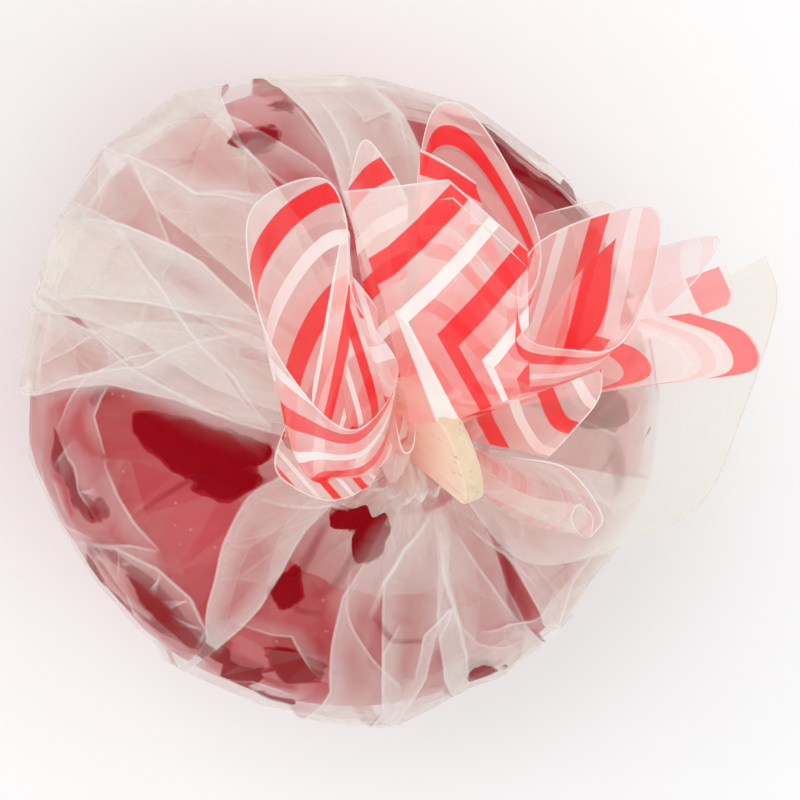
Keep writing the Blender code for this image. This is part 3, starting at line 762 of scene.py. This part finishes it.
# %% Wedges of folded film
# Corners of each edge as (azimuth, distance down), then plies and how far it stands off the skin.
PLEATS = {
    "west_low": (((184, 2), (176, 9), (172, 16), (171, 25), (176, 40), (178, 58)),
                 ((146, 2), (147, 10), (155, 20), (162, 30), (160, 44), (160, 58)), 4.4, 0.37),
    "west_middle": (((172, 2), (167, 12), (160, 22), (160, 32), (162, 44), (163, 58)),
                    ((138, 2), (141, 11), (139, 19), (142, 32), (145, 42), (146, 58)), 4.8, 0.51),
    "west_high": (((150, 2), (150, 17), (154, 26), (159, 40), (160, 58)),
                  ((122, 2), (116, 18), (129, 25), (132, 41), (133, 58)), 3.6, 0.46),
    "west_cross": (((178, 5), (167, 20), (160, 32), (158, 44)),
                   ((178, 5), (160, 12), (148, 22), (142, 32)), 3.0, 0.55),
    "west_fan": (((144, 29), (148, 22), (162, 10), (178, 5)), ((160, 32), (167, 22), (171, 15), (180, 5)), 2.0, 0.6),
    "west_fan_high": (((132, 41), (129, 25), (118, 17)), ((145, 42), (142, 32), (139, 19), (141, 11)), 1.6, 0.57),
    "west_fan_low": (((159, 40), (154, 26), (150, 17), (143, 9)), ((176, 40), (166, 21), (147, 10)), 2.2, 0.62),
    "north_west": (((136, 2), (136, 28), (132, 38), (133, 58)),
                   ((113, 1), (115, 19), (116, 28), (113, 41), (108, 58)), 4.2, 0.33),
    "north": (((103, 1), (102, 17), (101, 25), (103, 38), (104, 56)),
              ((80, 1), (80, 19), (83, 28), (87, 38), (88, 56)), 7.0, 0.46),
    "north_cross": (((118, 41), (112, 30), (101, 17)), ((99, 37), (97, 26), (98, 20)), 0.9, 0.28),
    "north_east": (((86, 30), (87, 38), (88, 50)), ((44, 33), (46, 40), (48, 50)), 2.5, 0.33),
    "south_west": (((198, 2), (203, 9), (212, 14), (222, 20), (232, 28), (234, 34), (236, 44)),
                   ((225, 1), (226, 6), (231, 12), (234, 18), (235, 33), (237, 44)), 3.6, 0.37),
    "south": (((258, 0), (254, 7), (252, 11), (255, 18), (260, 27), (260, 34), (261, 56)),
              ((294, 0), (288, 8), (288, 16), (289, 24), (290, 40), (291, 56)), 1.7, 0.42),
    "south_inner": (((286, 0), (270, 4), (264, 8), (268, 18), (272, 31), (273, 50)),
                    ((296, 1), (284, 11), (280, 19), (276, 30), (276, 50)), 2.0, 0.51),
    "south_east": (((288, 0), (282, 14), (284, 26), (288, 38), (289, 56)),
                   ((312, 0), (304, 14), (304, 23), (308, 38), (310, 56)), 4.0, 0.33),
    "east_low": (((310, 0), (309, 12), (308, 27), (312, 38), (314, 56)),
                 ((345, 0), (345, 20), (345, 38), (345, 56)), 4.4, 0.37),
    "east": (((338, 2), (338, 20), (338, 38), (338, 56)), ((378, 2), (378, 20), (378, 38), (378, 56)), 2.0, 0.55),
}  # fmt: skip
STRIP_STEPS = 36
PAST_THE_FLANK, TO_THE_FOOT = 43.0, 91.0  # pleats that pass the flank run on to the foot
edge_lines = []
pleat_shape = bmesh.new()
pleat_plies = pleat_shape.faces.layers.float.new("plies")
pleat_map = pleat_shape.loops.layers.uv.new("lay")
for number, (name, (first, second, count_plies, lift)) in enumerate(PLEATS.items()):
    left, right = [Vector(p) for p in first], [Vector(p) for p in second]
    if left[-1].y > PAST_THE_FLANK:
        middle = 0.5 * (left[-1].x + right[-1].x)
        for edge in (left, right):
            inward = 0.6 * (middle - edge[-1].x)
            edge += [Vector((edge[-1].x + 0.4 * inward, 74.0)), Vector((edge[-1].x + inward, TO_THE_FOOT))]
    spread = max(abs(a.x - b.x) for a, b in ((left[-1], right[-1]), (left[0], right[0])))
    ribs = max(2, round(spread / 2.5))
    grid, spots = [], []
    for step in range(STRIP_STEPS + 1):
        low = along(left, step / STRIP_STEPS * (len(left) - 1))
        high = along(right, step / STRIP_STEPS * (len(right) - 1))
        line = [low.lerp(high, k / ribs) for k in range(ribs + 1)]
        grid.append([pleat_shape.verts.new(on_skin(*spot, lift)) for spot in line])
        spots.append([(spot.x * MM_PER_DEGREE + 37.0 * number, spot.y) for spot in line])
    for step in range(STRIP_STEPS):
        for k in range(ribs):
            at = ((step, k), (step + 1, k), (step + 1, k + 1), (step, k + 1))
            face = pleat_shape.faces.new([grid[r][c] for r, c in at])
            face[pleat_plies] = count_plies
            for loop, (r, c) in zip(face.loops, at):
                loop[pleat_map].uv = spots[r][c]
    inside = -1 if right[0].x + right[-1].x > left[0].x + left[-1].x else 1
    edge_lines.append((left, lift, inside))
    edge_lines.append((right, lift, -inside))
bmesh.ops.recalc_face_normals(pleat_shape, faces=pleat_shape.faces)
pleats = piece_from("bag_pleats", pleat_shape, film_clear, "bag")
wet(pleats)
marked(pleats, 1.0)
print("pleats", len(PLEATS), "with", len(edge_lines), "folded edges")

# %% [markdown]
# ## Painted highlights on the folds
# A fold in clear film catches the light as a soft bright line, and here that highlight is painted. Each
# is a narrow near-white ribbon that lies on the film, opaque along its middle and clear at its edges.

# %% Ribbons of painted highlight along the folds
# Each fold as its width and strength, then its corners as (azimuth, distance down the film).
FOLD_HIGHLIGHTS = (
    (1.3, 0.6, (132, 41), (129, 25), (116, 18)), (1.0, 0.5, (145, 42), (142, 32), (139, 19), (141, 11)),
    (1.2, 0.6, (159, 40), (154, 26), (150, 17), (143, 9)), (1.1, 0.7, (176, 40), (166, 21), (147, 10)),
    (1.6, 0.5, (144, 29), (148, 22), (162, 10), (178, 5)), (1.8, 0.6, (160, 32), (167, 22), (171, 15), (180, 5)),
    (0.8, 0.6, (171, 40), (166, 32), (160, 27)), (0.9, 0.7, (182, 34), (171, 29), (163, 21), (157, 14)),
    (0.6, 0.5, (160, 27), (170, 25)), (1.0, 0.5, (131, 38), (136, 28), (141, 22), (148, 22)),
    (1.4, 0.6, (118, 41), (117, 28), (115, 22), (112, 19)), (1.0, 0.5, (104, 39), (103, 30), (101, 22), (101, 17)),
    (1.2, 0.5, (99, 37), (97, 26), (98, 20)), (1.0, 0.5, (86, 37), (85, 29), (85, 23)),
    (1.0, 0.4, (95, 38), (92, 29), (84, 32)), (2.2, 0.6, (186, 25), (195, 25), (203, 24), (209, 23)),
    (1.8, 0.6, (183, 33), (188, 30), (193, 31), (200, 30)),
    (2.6, 0.7, (203, 40), (205, 30), (213, 25), (222, 24), (230, 26), (234, 34)),
    (1.8, 0.6, (203, 40), (208, 34), (216, 34), (226, 39), (236, 38)),
    (1.6, 0.6, (186, 37), (192, 39), (200, 38), (203, 33)), (1.3, 0.5, (183, 30), (190, 36), (198, 37)),
    (0.9, 0.6, (171, 25), (178, 27), (186, 25)), (1.0, 0.6, (209, 23), (206, 27), (205, 30)),
    (3.0, 0.8, (286, 0), (270, 4), (264, 8), (262, 13)), (2.2, 0.8, (289, 2), (286, 8), (288, 16), (289, 24)),
    (0.9, 0.8, (276, 23), (278, 15), (287, 13), (280, 19)), (1.2, 0.7, (315, 21), (307, 23), (300, 20), (293, 19)),
    (1.5, 0.7, (330, 24), (318, 24), (310, 30), (309, 37)), (0.9, 0.6, (203, 9), (225, 2), (234, 1)),
    (1.0, 0.8, (235, 36), (245, 30), (255, 29)), (0.7, 0.5, (231, 22), (245, 19), (259, 25)),
    (0.9, 0.5, (249, 6), (255, 13), (273, 23), (275, 29)), (1.0, 0.6, (271, 13), (268, 18), (272, 31)),
    (0.8, 0.5, (284, 11), (292, 21), (306, 27)), (1.6, 0.6, (236, 40), (250, 38), (262, 36), (276, 38)),
    (1.2, 0.6, (361, 10), (355, 19), (363, 26)), (0.9, 0.5, (20, 12), (14, 22), (10, 32)),
    (1.3, 0.6, (345, 12), (338, 20), (335, 30)), (1.0, 0.6, (76, 36), (62, 33), (50, 32), (40, 33)),
    (0.8, 0.6, (78, 30), (66, 28), (54, 24)), (1.0, 0.5, (126, 6), (128, 14), (122, 22)),
    (0.9, 0.6, (296, 3), (300, 12), (303, 22)), (0.8, 0.6, (302, 3), (309, 10), (311, 18)),
)  # fmt: skip
RIBBON_STEPS = 16


def ribbon(shape, uv, strength, line, width, lift, one_side=0):
    """A strip on the skin along corners given as (azimuth, distance down), or a glow on one side."""
    layer = shape.faces.layers.float["plies"]
    pairs = []
    steps = RIBBON_STEPS * (len(line) - 1) // 2 + 4
    spots = [along(line, step / steps * (len(line) - 1)) for step in range(steps + 1)]
    for step, spot in enumerate(spots):
        here = on_skin(*spot, lift)
        ahead = on_skin(*spots[min(step + 1, steps)], lift) - on_skin(*spots[max(step - 1, 0)], lift)
        above = on_skin(*spot, lift + 1.0) - here
        side = ahead.cross(above).normalized() * width / 2
        start = here if one_side else here - side
        end = here + 2 * side * one_side if one_side else here + side
        pairs.append((shape.verts.new(start), shape.verts.new(end)))
    first = 0.5 if one_side else 0.0
    for step in range(steps):
        face = shape.faces.new((*pairs[step], *pairs[step + 1][::-1]))
        face[layer] = strength
        for loop, (x, y) in zip(face.loops, ((first, step), (1, step), (1, step + 1), (first, step + 1))):
            loop[uv].uv = (x, y / steps)


ribbons = bmesh.new()
ribbons.faces.layers.float.new("plies")
ribbon_uv = ribbons.loops.layers.uv.new("lay")
for number, (width, strength, *corners) in enumerate(FOLD_HIGHLIGHTS):
    corners = [Vector(c) for c in corners]
    ribbon(ribbons, ribbon_uv, 0.28 * strength, corners, 1.4 + 1.3 * width, 0.68, one_side=1 if number % 2 else -1)
    ribbon(ribbons, ribbon_uv, 0.52 * strength, corners, 0.35 + 0.2 * width, 0.72)
# The folded edges of the pleats get ribbons of painted highlight too.
for line, lift, inside in edge_lines:
    ribbon(ribbons, ribbon_uv, 0.3, line, 2.4, lift + 0.03, one_side=inside)
    ribbon(ribbons, ribbon_uv, 0.38, line, 0.45, lift + 0.06)
folds = piece_from("bag_fold_highlights", ribbons, fold_light, "bag")
wet(folds)
print("folds", len(FOLD_HIGHLIGHTS), "and pleat edges", len(edge_lines))

# %% Painted shade in the creases
# Each crease gets a dark-red ribbon of painted shade. Each: width, strength and corners.
CREASE_SHADES = (
    (0.8, 0.45, (200, 24), (194, 15.5), (193, 12)), (1.3, 0.4, (229, 3), (234, 8), (237, 13)),
    (1.1, 0.4, (236, 13.5), (242, 14.8), (249, 14)), (1.4, 0.4, (243, 1), (249, 5), (248, 10), (243, 13)),
    (1.6, 0.45, (312, 5), (306, 15), (305, 25)), (1.2, 0.4, (309, 8), (303, 17), (303, 24)),
    (1.0, 0.35, (262, 12), (270, 16), (280, 16)), (1.0, 0.35, (344, 17), (352, 20), (359, 17)),
    (3.0, 0.45, (340, 23), (348, 20.5), (356, 18.5), (362, 15)), (0.8, 0.45, (60, 36), (72, 34), (84, 33)),
)  # fmt: skip
shades = bmesh.new()
shades.faces.layers.float.new("plies")
shade_uv = shades.loops.layers.uv.new("lay")
for width, strength, *corners in CREASE_SHADES:
    ribbon(shades, shade_uv, strength, [Vector(c) for c in corners], width, 0.64)
piece_from("bag_crease_shade", shades, fold_shade, "bag")
print("dark creases", len(CREASE_SHADES))

# %% A bead for cut edges of film


def bead(shape, line, radius, sides=5):
    """A thin closed tube along a line of points, its ends drawn to a tip."""
    rings = []
    for k, point in enumerate(line):
        ahead = (line[min(k + 1, len(line) - 1)] - line[max(k - 1, 0)]).normalized()
        side = ahead.cross(Vector((0.3, 0.2, 1.0))).normalized()
        above = side.cross(ahead)
        end = min(k, len(line) - 1 - k) / (0.2 * len(line))
        reach = radius * max(0.15, min(1.0, end))
        rings.append([shape.verts.new(point + reach * (math.cos(2 * math.pi * s / sides) * side
                                                       + math.sin(2 * math.pi * s / sides) * above))
                      for s in range(sides)])  # fmt: skip
    for near, far in zip(rings, rings[1:]):
        for s in range(sides):
            shape.faces.new((near[s], near[(s + 1) % sides], far[(s + 1) % sides], far[s]))
    shape.faces.new(rings[0][::-1])
    shape.faces.new(rings[-1])


# %% [markdown]
# ## The gathered neck
# The stick is held where the whole width of the bag is squeezed into a small pleated waist. The
# pleats are deep at the waist, and they fade out above it and down over the bag's shoulder.

# %% Neck
NECK_PLEATS, NECK_WAIST = 26, 71.5
# Height, radius, depth of the pleats and plies of each ring, from the shoulder to above the waist.
NECK_RINGS = (
    (66.3, 18.5, 0.15, 0.8), (68.0, 14.5, 0.35, 1.5), (69.6, 11.0, 0.55, 2.5), (70.6, 8.6, 0.6, 3.2),
    (NECK_WAIST, 7.3, 0.5, 3.8), (72.8, 7.0, 0.45, 3.8), (74.3, 6.8, 0.4, 4.0), (75.6, 6.3, 0.4, 4.0),
    (76.2, 5.6, 0.4, 5.0), (75.6, 4.6, 0.35, 6.0), (74.0, 3.4, 0.25, 7.0), (72.0, 2.6, 0.1, 7.0))  # fmt: skip
neck = bmesh.new()
neck_map = neck.loops.layers.uv.new("lay")
neck_line = [Vector(ring[:3]) for ring in NECK_RINGS]
neck_plies_line = [Vector((ring[3], 0.0)) for ring in NECK_RINGS]
rings, ring_plies = [], []
for step in range(2 * (len(NECK_RINGS) - 1) + 1):
    height, radius, depth = along(neck_line, step / 2)
    ring = []
    for k in range(NECK_PLEATS * 6):
        azimuth = 60.0 * k / NECK_PLEATS
        deep = depth * (math.cos(math.radians(NECK_PLEATS * azimuth)) + 0.5 * math.sin(math.radians(7 * azimuth + 40)))
        flat = around(azimuth, radius + deep) + NECK_CENTRE
        ring.append(neck.verts.new((flat.x, flat.y, height)))
    rings.append(ring)
    ring_plies.append(along(neck_plies_line, step / 2).x)
for number, (low, high) in enumerate(zip(rings, rings[1:])):
    for k in range(len(low)):
        nxt = (k + 1) % len(low)
        face = neck.faces.new((low[k], low[nxt], high[nxt], high[k]))
        for loop, (x, y) in zip(face.loops, ((k, number), (k + 1, number), (k + 1, number + 1), (k, number + 1))):
            loop[neck_map].uv = (x * 1.5, 2.0 * y)
bmesh.ops.recalc_face_normals(neck, faces=neck.faces)
neck_piece = piece_from("bag_neck", neck, film_clear, "bag_mouth")
fading = neck_piece.data.attributes.new("plies", "FLOAT", "POINT")
per_ring = len(rings[0])
# The film is bunched thickest to the south of the stick.
bunched = [1.0 + 1.6 * math.exp(-(((k / per_ring * 360.0 - 262.0) / 32.0) ** 2)) for k in range(per_ring)]
fading.data.foreach_set("value", [value * more for value in ring_plies for more in bunched])
wet(neck_piece)
marked(neck_piece, 1.0)
choose(neck_piece)
bpy.ops.object.shade_smooth()
print("neck", len(neck_piece.data.polygons), "faces")

# %% [markdown]
# ## The mouth of the bag
# Above the neck the film opens again in trumpets, flaps and tongues. Each is a sheet drawn through
# rows of points: a root in the neck, a row halfway up, and the rim. The print's UV map is measured
# along the rim and down from it, so that the stripes crowd together towards the neck as they do
# when film is gathered.

# %% Rows of the mouth's pieces
ROOT_HEIGHT, ROOT_RADIUS, TRUMPET_ROOT_OFFSET, TRUMPET_ROOT_RADIUS = 75.0, 4.4, 2.6, 2.0
# Each piece: closed round or not, its plies, how its print runs, and its rows from low to high.
# The print runs along the rim, or square to an azimuth. "period" is its repeat, "start" slides it,
# "bend" curves it and "floor" ends it. "near" is the part of a closed rim whose print slants away
# from the rim instead, and "hem" is how far a seam lies from the rim.
MOUTH = {
    "trumpet_left": dict(closed=True, plies=2.2, run=-38.7, period=9.35, start=0.43, bend=(0.045, 10.0),
                         near=(0, 3, 0.65, 0.67, 13.0), floor=-29.8, rows=(
        ((-3.8, 3.5, 84), (-5.2, -0.4, 81), (-9.0, -0.9, 80), (-11.9, 0.1, 82), (-13, 8, 80), (-12, 13, 80),
         (-9, 14.5, 80), (-6.5, 13, 82), (-4.5, 9, 84)),
        ((-5.1, 12.5, 96), (-8.7, 7.3, 98), (-12.6, 8.4, 97), (-17.7, 16.2, 95), (-18.7, 25.1, 90),
         (-16.2, 28.6, 88), (-11.0, 29.9, 88), (-9.3, 26.5, 91), (-8.9, 19, 93)))),
    "fold_left": dict(closed=False, plies=2.4, run=-3.0, period=3.3, start=0.36, rows=(
        ((-10.2, 5.5, 78), (-8.9, 4.5, 79), (-7.4, 5.5, 80)),
        ((-10.3, 14.5, 84), (-9.4, 14.0, 86), (-8.4, 14.5, 88)),
        ((-9.6, 24.8, 90.5), (-9.3, 25.3, 91.5), (-9.0, 24.8, 92)))),
    "fold_inner": dict(closed=False, plies=2.2, run=20.0, period=3.2, start=0.2, rows=(
        ((-7.4, 5.5, 80), (-5.5, 6, 81), (-4, 8, 83)),
        ((-8.8, 21, 89), (-7.6, 19.5, 90), (-6.2, 17.5, 91)))),
    "roll_left": dict(closed=False, plies=2.2, run=40.0, period=2.8, start=0.45, rows=(
        ((-3.6, -1.2, 77), (-6.5, -3.2, 78), (-10.5, -2.2, 79), (-13, 0, 80), (-13.4, 2.5, 82)),
        ((-5, -2, 80), (-9, -3, 81), (-13, -1.3, 82.5), (-15.2, 1.5, 84), (-14, 7.4, 87)))),
    "flap_middle": dict(closed=False, crisp=True, plies=2.2, run=-38.7, period=9.4, start=0.545, fold=2, hem=2.0,
                        floor=-21.5, rows=(
        ((-2.3, 5.6, 88), (1.4, 6.4, 91), (4.2, 7.6, 92), (6.9, 8.6, 92), (9.0, 9.2, 91)),
        ((-6.2, 18.8, 94), (-4.7, 17.1, 96), (-1.0, 15.5, 97), (5.0, 11.8, 96), (8.2, 10.2, 94)),
        ((-10.5, 29.5, 97), (-8, 30, 101), (-5.5, 30.5, 103), (-2, 31, 104), (6.5, 24, 100)))),
    "loop_back": dict(closed=True, plies=2.2, blush=0.45, white_ink=0.2, run="rim", start=0.08, rows=(
        ((0, 17, 82), (0.5, 20, 82), (4.5, 20, 83), (9.5, 15, 84), (6.5, 13, 88), (1.5, 15, 88)),
        ((-2.5, 26.5, 92), (-1, 36.5, 92), (3.5, 35.5, 92), (9, 24.5, 94), (6.5, 19, 97), (0, 25.5, 98)))),
    "curl_back": dict(closed=False, plies=2.2, blush=0.5, white_ink=0.2, run="rim", start=0.34, rows=(
        ((-2.0, 26.5, 90), (0.5, 25.5, 91), (3.5, 24.5, 92)),
        ((-2.4, 33.0, 93), (-0.4, 31.8, 96), (2.4, 30.0, 96)))),
    "peak_back": dict(closed=False, plies=2.2, run=-45.0, start=0.31, rows=(
        ((-5.5, 18, 80), (-4, 19, 80), (-3, 19, 81), (-1.5, 18, 82)),
        ((-8.5, 29, 88), (-7, 33.5, 88), (-5, 31.5, 89), (-3, 28, 90)))),
    "trumpet_right": dict(closed=True, plies=2.2, blush=0.55, white_ink=0.8, run=0.0, period=8.2, start=0.659,
                          near=(4, 6, 0.0, 0.18, 9.0), rows=(
        ((4.8, 10.5, 90), (7.5, 12.8, 85), (14, 13.8, 82), (18.8, 12.8, 82), (15, 9.6, 86), (8.5, 8.7, 88)),
        ((6.5, 16, 98), (8, 24, 97), (20.5, 27, 92), (20.5, 21, 94), (16.5, 14.5, 97), (11.5, 14, 98)))),
    "fold_right": dict(closed=False, rimless=True, plies=1.6, blush=0.6, white_ink=0.0, run=0.0, period=14.0,
                       start=0.364, rows=(
        ((10, 12.2, 84), (13, 12.6, 84), (16.5, 12.6, 84)),
        ((10.5, 16.5, 92), (13.5, 20.5, 91.5), (17.2, 24.0, 92)))),
    "corner_back": dict(closed=False, bare=True, plies=4.0, run="rim", start=0.0, rows=(
        ((9, 17, 84), (12, 18, 84), (15, 18, 83)),
        ((9.5, 26.3, 91), (15.6, 27.6, 92), (17.6, 26.2, 92)))),
    "tongue_upper": dict(closed=False, plies=1.3, blush=0.3, red_ink=0.4, white_ink=0.5, run=0.0, start=0.78, rows=(
        ((20, 11.5, 80), (19, 14.5, 79), (18.5, 17.5, 79), (18.5, 19.5, 80)),
        ((24, 17, 88), (27, 20, 88), (28.5, 23.5, 88), (22.5, 22.5, 87)))),
    "tongue_lower": dict(closed=False, plies=2.0, blush=0.15, red_ink=0.9, white_ink=0.4, run="rim", period=11.0, start=0.38, rows=(
        ((13.5, 7, 84), (16.5, 8.5, 85), (18.5, 11, 84), (18.5, 13.5, 82)),
        ((22.5, 9, 88), (32.5, 10, 88), (31.5, 14, 89), (26, 16, 88)))),
    "tongue_square": dict(closed=False, crisp=True, plies=1.8, red_ink=0.8, run=25.0, period=13.0, start=0.915, rows=(
        ((19, 10.5, 80), (19.5, 13.5, 80), (19.5, 16, 81)),
        ((30.5, 16.5, 86), (31, 18, 86), (30, 20.5, 86)))),
    "lip": dict(closed=False, bare=True, plies=2.5, rim_plies=8.0, run="rim", start=0.0, rows=(
        ((13.5, -12.5, 70), (16.5, -8.5, 74), (18.5, -3, 76), (19, 3.5, 76), (19, 11, 76)),
        ((26, -11, 70), (32.5, -6, 72), (35.5, 3.5, 75), (38, 15, 78), (36.5, 20.5, 79)))),
    "petal_low": dict(closed=False, plies=0.7, red_ink=0.3, white_ink=0.3, run="rim", period=4.2, start=0.0, rows=(
        ((10, -5.5, 82), (11, -3.5, 84), (10.5, -0.5, 86), (7.5, 1.5, 86)),
        ((15, -5.5, 92), (15, -2.5, 96), (11, 2.5, 98), (6, 3.5, 96)))),
    "tube_low": dict(closed=True, bare=True, plies=2.5, blush=0.1, run="rim", start=0.0, rows=(
        ((10, -4.5, 83), (8.6, -3.2, 84), (8.8, -1.8, 85), (10, -2.8, 84)),
        ((15, -6, 90), (13, -3.8, 92), (13.4, -2, 93), (15.4, -3.8, 91)))),
    "petal_under": dict(closed=False, plies=2.0, run=27.0, period=5.5, start=0.97, rows=(
        ((10.5, 1.5, 82), (11.5, 3.5, 84), (12, 5.5, 85), (9.5, 7.5, 85)),
        ((10.5, 2.5, 92), (12.5, 5.5, 94), (15, 8.5, 94), (15.5, 11.5, 94)))),
    "loop_stick": dict(closed=False, bare=True, plies=2.5, blush=0.3, run="rim", start=0.0, rows=(
        ((-3.6, 0.5, 80), (-2.8, -1.6, 80), (-1.8, -0.4, 81), (-1.4, 2.5, 82)),
        ((-3.6, 6.3, 86), (-3.0, 3.0, 87), (-2.0, 3.0, 87), (-1.4, 5.0, 86)))),
}  # fmt: skip
STRIPE_PERIOD = 9.0

# %% Sheets through the rows


def smooth_point(points, place, closed):
    """The point at this place, counted in points, on a Catmull-Rom curve through them."""
    count = len(points)
    last = count if closed else count - 1
    start = min(int(place), last - 1)
    t = place - start

    def near(index):
        if closed:
            return points[index % count]
        if index < 0:
            return 2 * points[0] - points[1]
        if index >= count:
            return 2 * points[-1] - points[-2]
        return points[index]

    a, b, c, d = (near(start + offset) for offset in (-1, 0, 1, 2))
    return 0.5 * (2 * b + (c - a) * t + (2 * a - 5 * b + 4 * c - d) * t**2
                  + (3 * b - a - 3 * c + d) * t**3)  # fmt: skip


def straight_point(points, place, closed):
    count = len(points)
    start = min(int(place), (count if closed else count - 1) - 1)
    return points[start].lerp(points[(start + 1) % count], place - start)


def root_row(row, closed):
    """Where a piece of film leaves the neck: a small ring for a trumpet, an arc for a flap."""
    plans = [point.xy for point in row]
    roots = []
    if closed:
        middle = sum(plans, Vector((0.0, 0.0))) / len(plans)
        centre = NECK_CENTRE + (middle - NECK_CENTRE).normalized() * TRUMPET_ROOT_OFFSET
        for plan in plans:
            roots.append(centre + (plan - middle).normalized() * TRUMPET_ROOT_RADIUS)
    else:
        for plan in plans:
            roots.append(NECK_CENTRE + (plan - NECK_CENTRE).normalized() * ROOT_RADIUS)
    return [Vector((*root, ROOT_HEIGHT)) for root in roots]


def film_grid(rows, closed, crisp):
    """Points of the sheet, root first, with the first column repeated at the end of a closed one."""
    rows = [[Vector(point) for point in row] for row in rows]
    rows.insert(0, root_row(rows[0], closed))
    read = straight_point if crisp else smooth_point
    spans = len(rows[0]) if closed else len(rows[0]) - 1
    across, up = ACROSS_STEPS, UP_STEPS
    grid = []
    for climb in range((len(rows) - 1) * up + 1):
        line = []
        for place in range(spans * across + 1):
            rib = [read(row, place / across if place < spans * across or not closed else 0.0, closed) for row in rows]
            line.append(read(rib, climb / up, False))
        grid.append(line)
    return grid


UP_STEPS, ACROSS_STEPS = 14, 12


def print_map(grid, piece):
    """Stripes counted across and millimetres from the rim, for each column of each face.

    Below the row called fold, each stripe keeps to its rib and crowds in to the neck.
    """
    run, start, fold = piece["run"], piece["start"], piece.get("fold", 0)
    period = piece.get("period", STRIPE_PERIOD)
    amount, middle = piece.get("bend", (0.0, 0.0))
    first, last, slope, near_start, near_period = piece.get("near", (0, 0, 0.0, 0.0, 1.0))
    down = [[0.0] * len(line) for line in grid]
    for k in range(len(grid) - 2, -1, -1):
        for j in range(len(grid[0])):
            down[k][j] = down[k + 1][j] + (grid[k][j] - grid[k + 1][j]).length
    places, near_places = [], []
    for k, line in enumerate(grid):
        row, near_row, walked = [], [], 0.0
        for j, point in enumerate(line):
            if j:
                walked += (grid[-1][j] - grid[-1][j - 1]).length
            source = grid[max(k, fold * UP_STEPS)][j].xy
            if run == "rim":
                count = down[k][j]
            else:
                over = source.dot(around(run + 90.0)) - middle
                count = source.dot(around(run)) - amount * over**2 * (1.0 if over > 0.0 else 0.45)
                count = max(count, piece.get("floor", -99.0))
            row.append((count / period + start, down[k][j] + (1.0 if piece.get("rimless") else 0.0)))
            near_row.append(((down[k][j] - slope * walked) / near_period + near_start, down[k][j]))
        places.append(row)
        near_places.append(near_row)
    return places, near_places, range(first * ACROSS_STEPS, last * ACROSS_STEPS)


rims = []
for name, piece in MOUTH.items():
    closed, bare = piece["closed"], piece.get("bare", False)
    grid = film_grid(piece["rows"], closed, piece.get("crisp", False))
    places, near_places, near_columns = print_map(grid, piece)
    shape = bmesh.new()
    uv = shape.loops.layers.uv.new("lay" if bare else "print")
    last = len(grid[0]) - 1
    points = [[shape.verts.new(p) for p in (line[:-1] if closed else line)] for line in grid]
    for k in range(len(grid) - 1):
        for j in range(last):
            at = [(k, j), (k, j + 1), (k + 1, j + 1), (k + 1, j)]
            face = shape.faces.new([points[r][c % len(points[r])] for r, c in at])
            face.smooth = not piece.get("crisp", False)
            spots = near_places if j in near_columns else places
            for loop, (r, c) in zip(face.loops, at):
                loop[uv].uv = (c * 0.15, 0.5 * spots[r][c][1]) if bare else spots[r][c]
    if not piece.get("rimless"):
        rims.append((list(grid[-1]), closed))
    if "hem" in piece:
        ribs = list(zip(*grid))[2 * len(grid[0]) // 3 :]
        rims.append(([measured(rib[::-1], piece["hem"]) for rib in ribs], False))
    finish = film_clear if bare else film_striped
    made = piece_from("mouth_" + name, shape, finish, "bag_mouth")
    thin, thick = piece["plies"], piece.get("rim_plies", piece["plies"])
    stack = [thin + (thick - thin) * (k / (len(points) - 1)) ** 2 for k, line in enumerate(points) for _ in line]
    marked(made, stack, *(piece.get(key, value) for key, value in (("blush", 0.0), ("red_ink", 1.0), ("white_ink", 1.0))))
    print(name, len(made.data.polygons), "faces")

# %% Beads on the rims
# Each rim gets a thin bead that carries a painted highlight.
beads = bmesh.new()
for line, closed in rims:
    bead(beads, line, 0.09)
bmesh.ops.recalc_face_normals(beads, faces=beads.faces)
rim_beads = piece_from("mouth_rims", beads, painted_rim_highlight, "bag_mouth")
choose(rim_beads)
bpy.ops.object.shade_smooth()

# %% [markdown]
# ## Stage
# A pale floor, an even white room and one broad soft light, as in a light tent.

# %% Floor and lights
deselect()
bpy.ops.mesh.primitive_plane_add(size=4.0, location=(0, 0, 0))
floor = bpy.context.object
floor.name = "floor"
pale, tree, shader = fresh_material("pale_floor")
shader.inputs["Base Color"].default_value = (0.985, 1.0, 1.0, 1)
shader.inputs["Roughness"].default_value = 0.9
floor.data.materials.append(pale)

world = bpy.data.worlds.new("tent")
bpy.context.scene.world = world
world.use_nodes = True
world.node_tree.nodes["Background"].inputs["Color"].default_value = (1.0, 1.0, 1.0, 1)
world.node_tree.nodes["Background"].inputs["Strength"].default_value = 0.84


def soft_light(name, place, size, power):
    deselect()
    bpy.ops.object.light_add(type="AREA", location=place)
    lamp = bpy.context.object
    lamp.name = name
    lamp.data.size = size
    lamp.data.energy = power
    lamp.rotation_euler = (Vector((0, 0, 0.05)) - Vector(place)).to_track_quat("-Z", "Y").to_euler()
    return lamp


soft_light("key", (-0.5, 0.45, 0.9), 0.6, 2.7)
soft_light("fill", (0.7, -0.4, 0.6), 0.6, 1.0)

# %% Camera
BACK = Vector((-0.1853, 0.1555, 0.9703))
RIGHT = Vector((0.0, 1.0, 0.0)).cross(BACK).normalized()
UP = BACK.cross(RIGHT)
deselect()
bpy.ops.object.camera_add()
camera = bpy.context.object
camera.location = Vector((-60.05, 55.64, 384.63)) * MM
camera.rotation_euler = Matrix((RIGHT, UP, BACK)).transposed().to_euler()
camera.data.lens = 140.59
camera.data.sensor_width = 36.0
camera.data.clip_start = 0.01
bpy.context.scene.camera = camera
bpy.context.scene.view_settings.view_transform = "Standard"
bpy.context.scene.cycles.transparent_max_bounces = 64
print("camera", [round(x / MM, 1) for x in camera.location], "mm")
